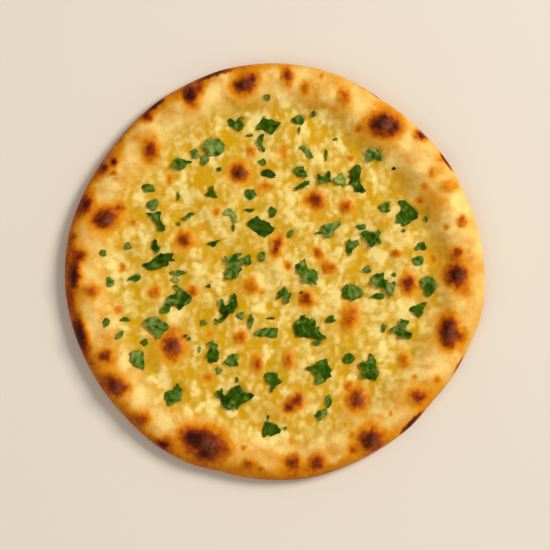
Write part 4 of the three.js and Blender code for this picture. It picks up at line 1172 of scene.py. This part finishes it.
class NAAN_OT_flecks(bpy.types.Operator):
    """Lay the small leaves and flecks on the naan, joined as one piece"""
    bl_idname = "naan.flecks"
    bl_label = "Herb flecks"

    def execute(self, context):
        settings = context.scene.naan_herbs
        crust = Crust(context.scene.naan_bread)
        flecks = []
        for number, (cx, cy, width, length, turn, tone) in enumerate(FLECKS):
            middle = (cx * SPREAD, cy * SPREAD)
            outline = fleck_outline(width, length, turn, 900 + number)
            fleck = add_leaf_sheet(f"fleck_{number}", outline, settings.cell * 0.8)
            lay_leaf(fleck, crust, outline, middle, FLECK_CRUMPLE, tone, 3000 + 9 * number, settings)
            flecks.append(fleck)
        deselect_all()
        for fleck in flecks:
            fleck.select_set(True)
        bpy.context.view_layer.objects.active = flecks[0]
        bpy.ops.object.join()
        flecks[0].name = flecks[0].data.name = "herb_flecks"
        finish_piece(flecks[0], bpy.data.materials["fresh_herb_leaf"], "chopped_herb")
        return {"FINISHED"}


SENSOR_WIDTH = 36.0  # of the camera, in mm
VIEW_MIDDLE = (0.0003, -0.0023)  # where the camera looks straight down, in m
FLOOR_WIDTH = 6.0  # m


class NAAN_OT_stage(bpy.types.Operator):
    """Set a plain pale floor, soft studio light and a camera that looks straight down"""
    bl_idname = "naan.stage"
    bl_label = "Stage"

    def execute(self, context):
        s = context.scene.naan_stage
        scene = context.scene
        deselect_all()
        bpy.ops.mesh.primitive_plane_add(size=FLOOR_WIDTH)
        floor = bpy.context.object
        floor.name = "floor"
        # Matt painted board: even and dull, with the faintest grain.
        material, tree, shader = new_material("matt_painted_board")
        where = add_node(tree, "ShaderNodeTexCoord").outputs["Object"]
        add_bumps(tree, shader, (0.05, 0.2, noise_of(tree, where, 4.0)))
        shader.inputs["Base Color"].default_value = s.floor_colour
        shader.inputs["Roughness"].default_value = 0.7
        floor.data.materials.append(material)
        self.add_lamp("key", (1.65, 0.92, 1.87), 1.0, s.key_power, "#FFF6E8")
        self.add_lamp("fill", (-0.7, -0.5, 1.0), 0.9, s.fill_power, "#FFF8F0")
        world = bpy.data.worlds.new("pale_room")
        scene.world = world
        world.use_nodes = True
        world.node_tree.nodes["Background"].inputs["Color"].default_value = rgba("#F6EAD6")
        world.node_tree.nodes["Background"].inputs["Strength"].default_value = s.world_strength
        camera = bpy.data.objects.new("camera", bpy.data.cameras.new("camera"))
        scene.collection.objects.link(camera)
        camera.data.sensor_width = SENSOR_WIDTH
        camera.data.lens = SENSOR_WIDTH * s.camera_height / (s.view_width * MM)
        camera.location = (*VIEW_MIDDLE, s.camera_height)
        scene.camera = camera
        scene.view_settings.view_transform = "Standard"
        return {"FINISHED"}

    def add_lamp(self, name, place, size, power, hex_colour):
        """A square soft lamp that points at the bread."""
        bpy.ops.object.light_add(type="AREA", location=place)
        lamp = bpy.context.object
        lamp.name = name
        lamp.data.size = size
        lamp.data.energy = power
        lamp.data.color = rgba(hex_colour)[:3]
        lamp.rotation_euler = (-lamp.location).to_track_quat("-Z", "Y").to_euler()


class NAAN_PT_sidebar(bpy.types.Panel):
    """Lists the naan's pieces and their settings"""
    bl_idname = "NAAN_PT_sidebar"
    bl_label = "Naan Bread"
    bl_space_type = "VIEW_3D"
    bl_region_type = "UI"
    bl_category = "Naan"

    def draw(self, context):
        groups = ((context.scene.naan_bread, (NAAN_OT_bread,)),
                  (context.scene.naan_herbs, (NAAN_OT_leaves, NAAN_OT_flecks)),
                  (context.scene.naan_stage, (NAAN_OT_stage,)))
        for settings, operators in groups:
            box = self.layout.box()
            for operator in operators:
                box.operator(operator.bl_idname)
            for name in settings.__annotations__:
                box.prop(settings, name)


CLASSES = (
    NaanBreadSettings, NaanHerbSettings, NaanStageSettings,
    NAAN_OT_bread, NAAN_OT_leaves, NAAN_OT_flecks, NAAN_OT_stage, NAAN_PT_sidebar,
)


def register():
    for cls in CLASSES:
        bpy.utils.register_class(cls)
    bpy.types.Scene.naan_bread = bpy.props.PointerProperty(type=NaanBreadSettings)
    bpy.types.Scene.naan_herbs = bpy.props.PointerProperty(type=NaanHerbSettings)
    bpy.types.Scene.naan_stage = bpy.props.PointerProperty(type=NaanStageSettings)


def unregister():
    del bpy.types.Scene.naan_stage
    del bpy.types.Scene.naan_herbs
    del bpy.types.Scene.naan_bread
    for cls in reversed(CLASSES):
        bpy.utils.unregister_class(cls)


def main():
    register()
    bpy.ops.naan.stage()
    bpy.ops.naan.bread()
    bpy.ops.naan.leaves()
    bpy.ops.naan.flecks()


if __name__ == "__main__":
    main()
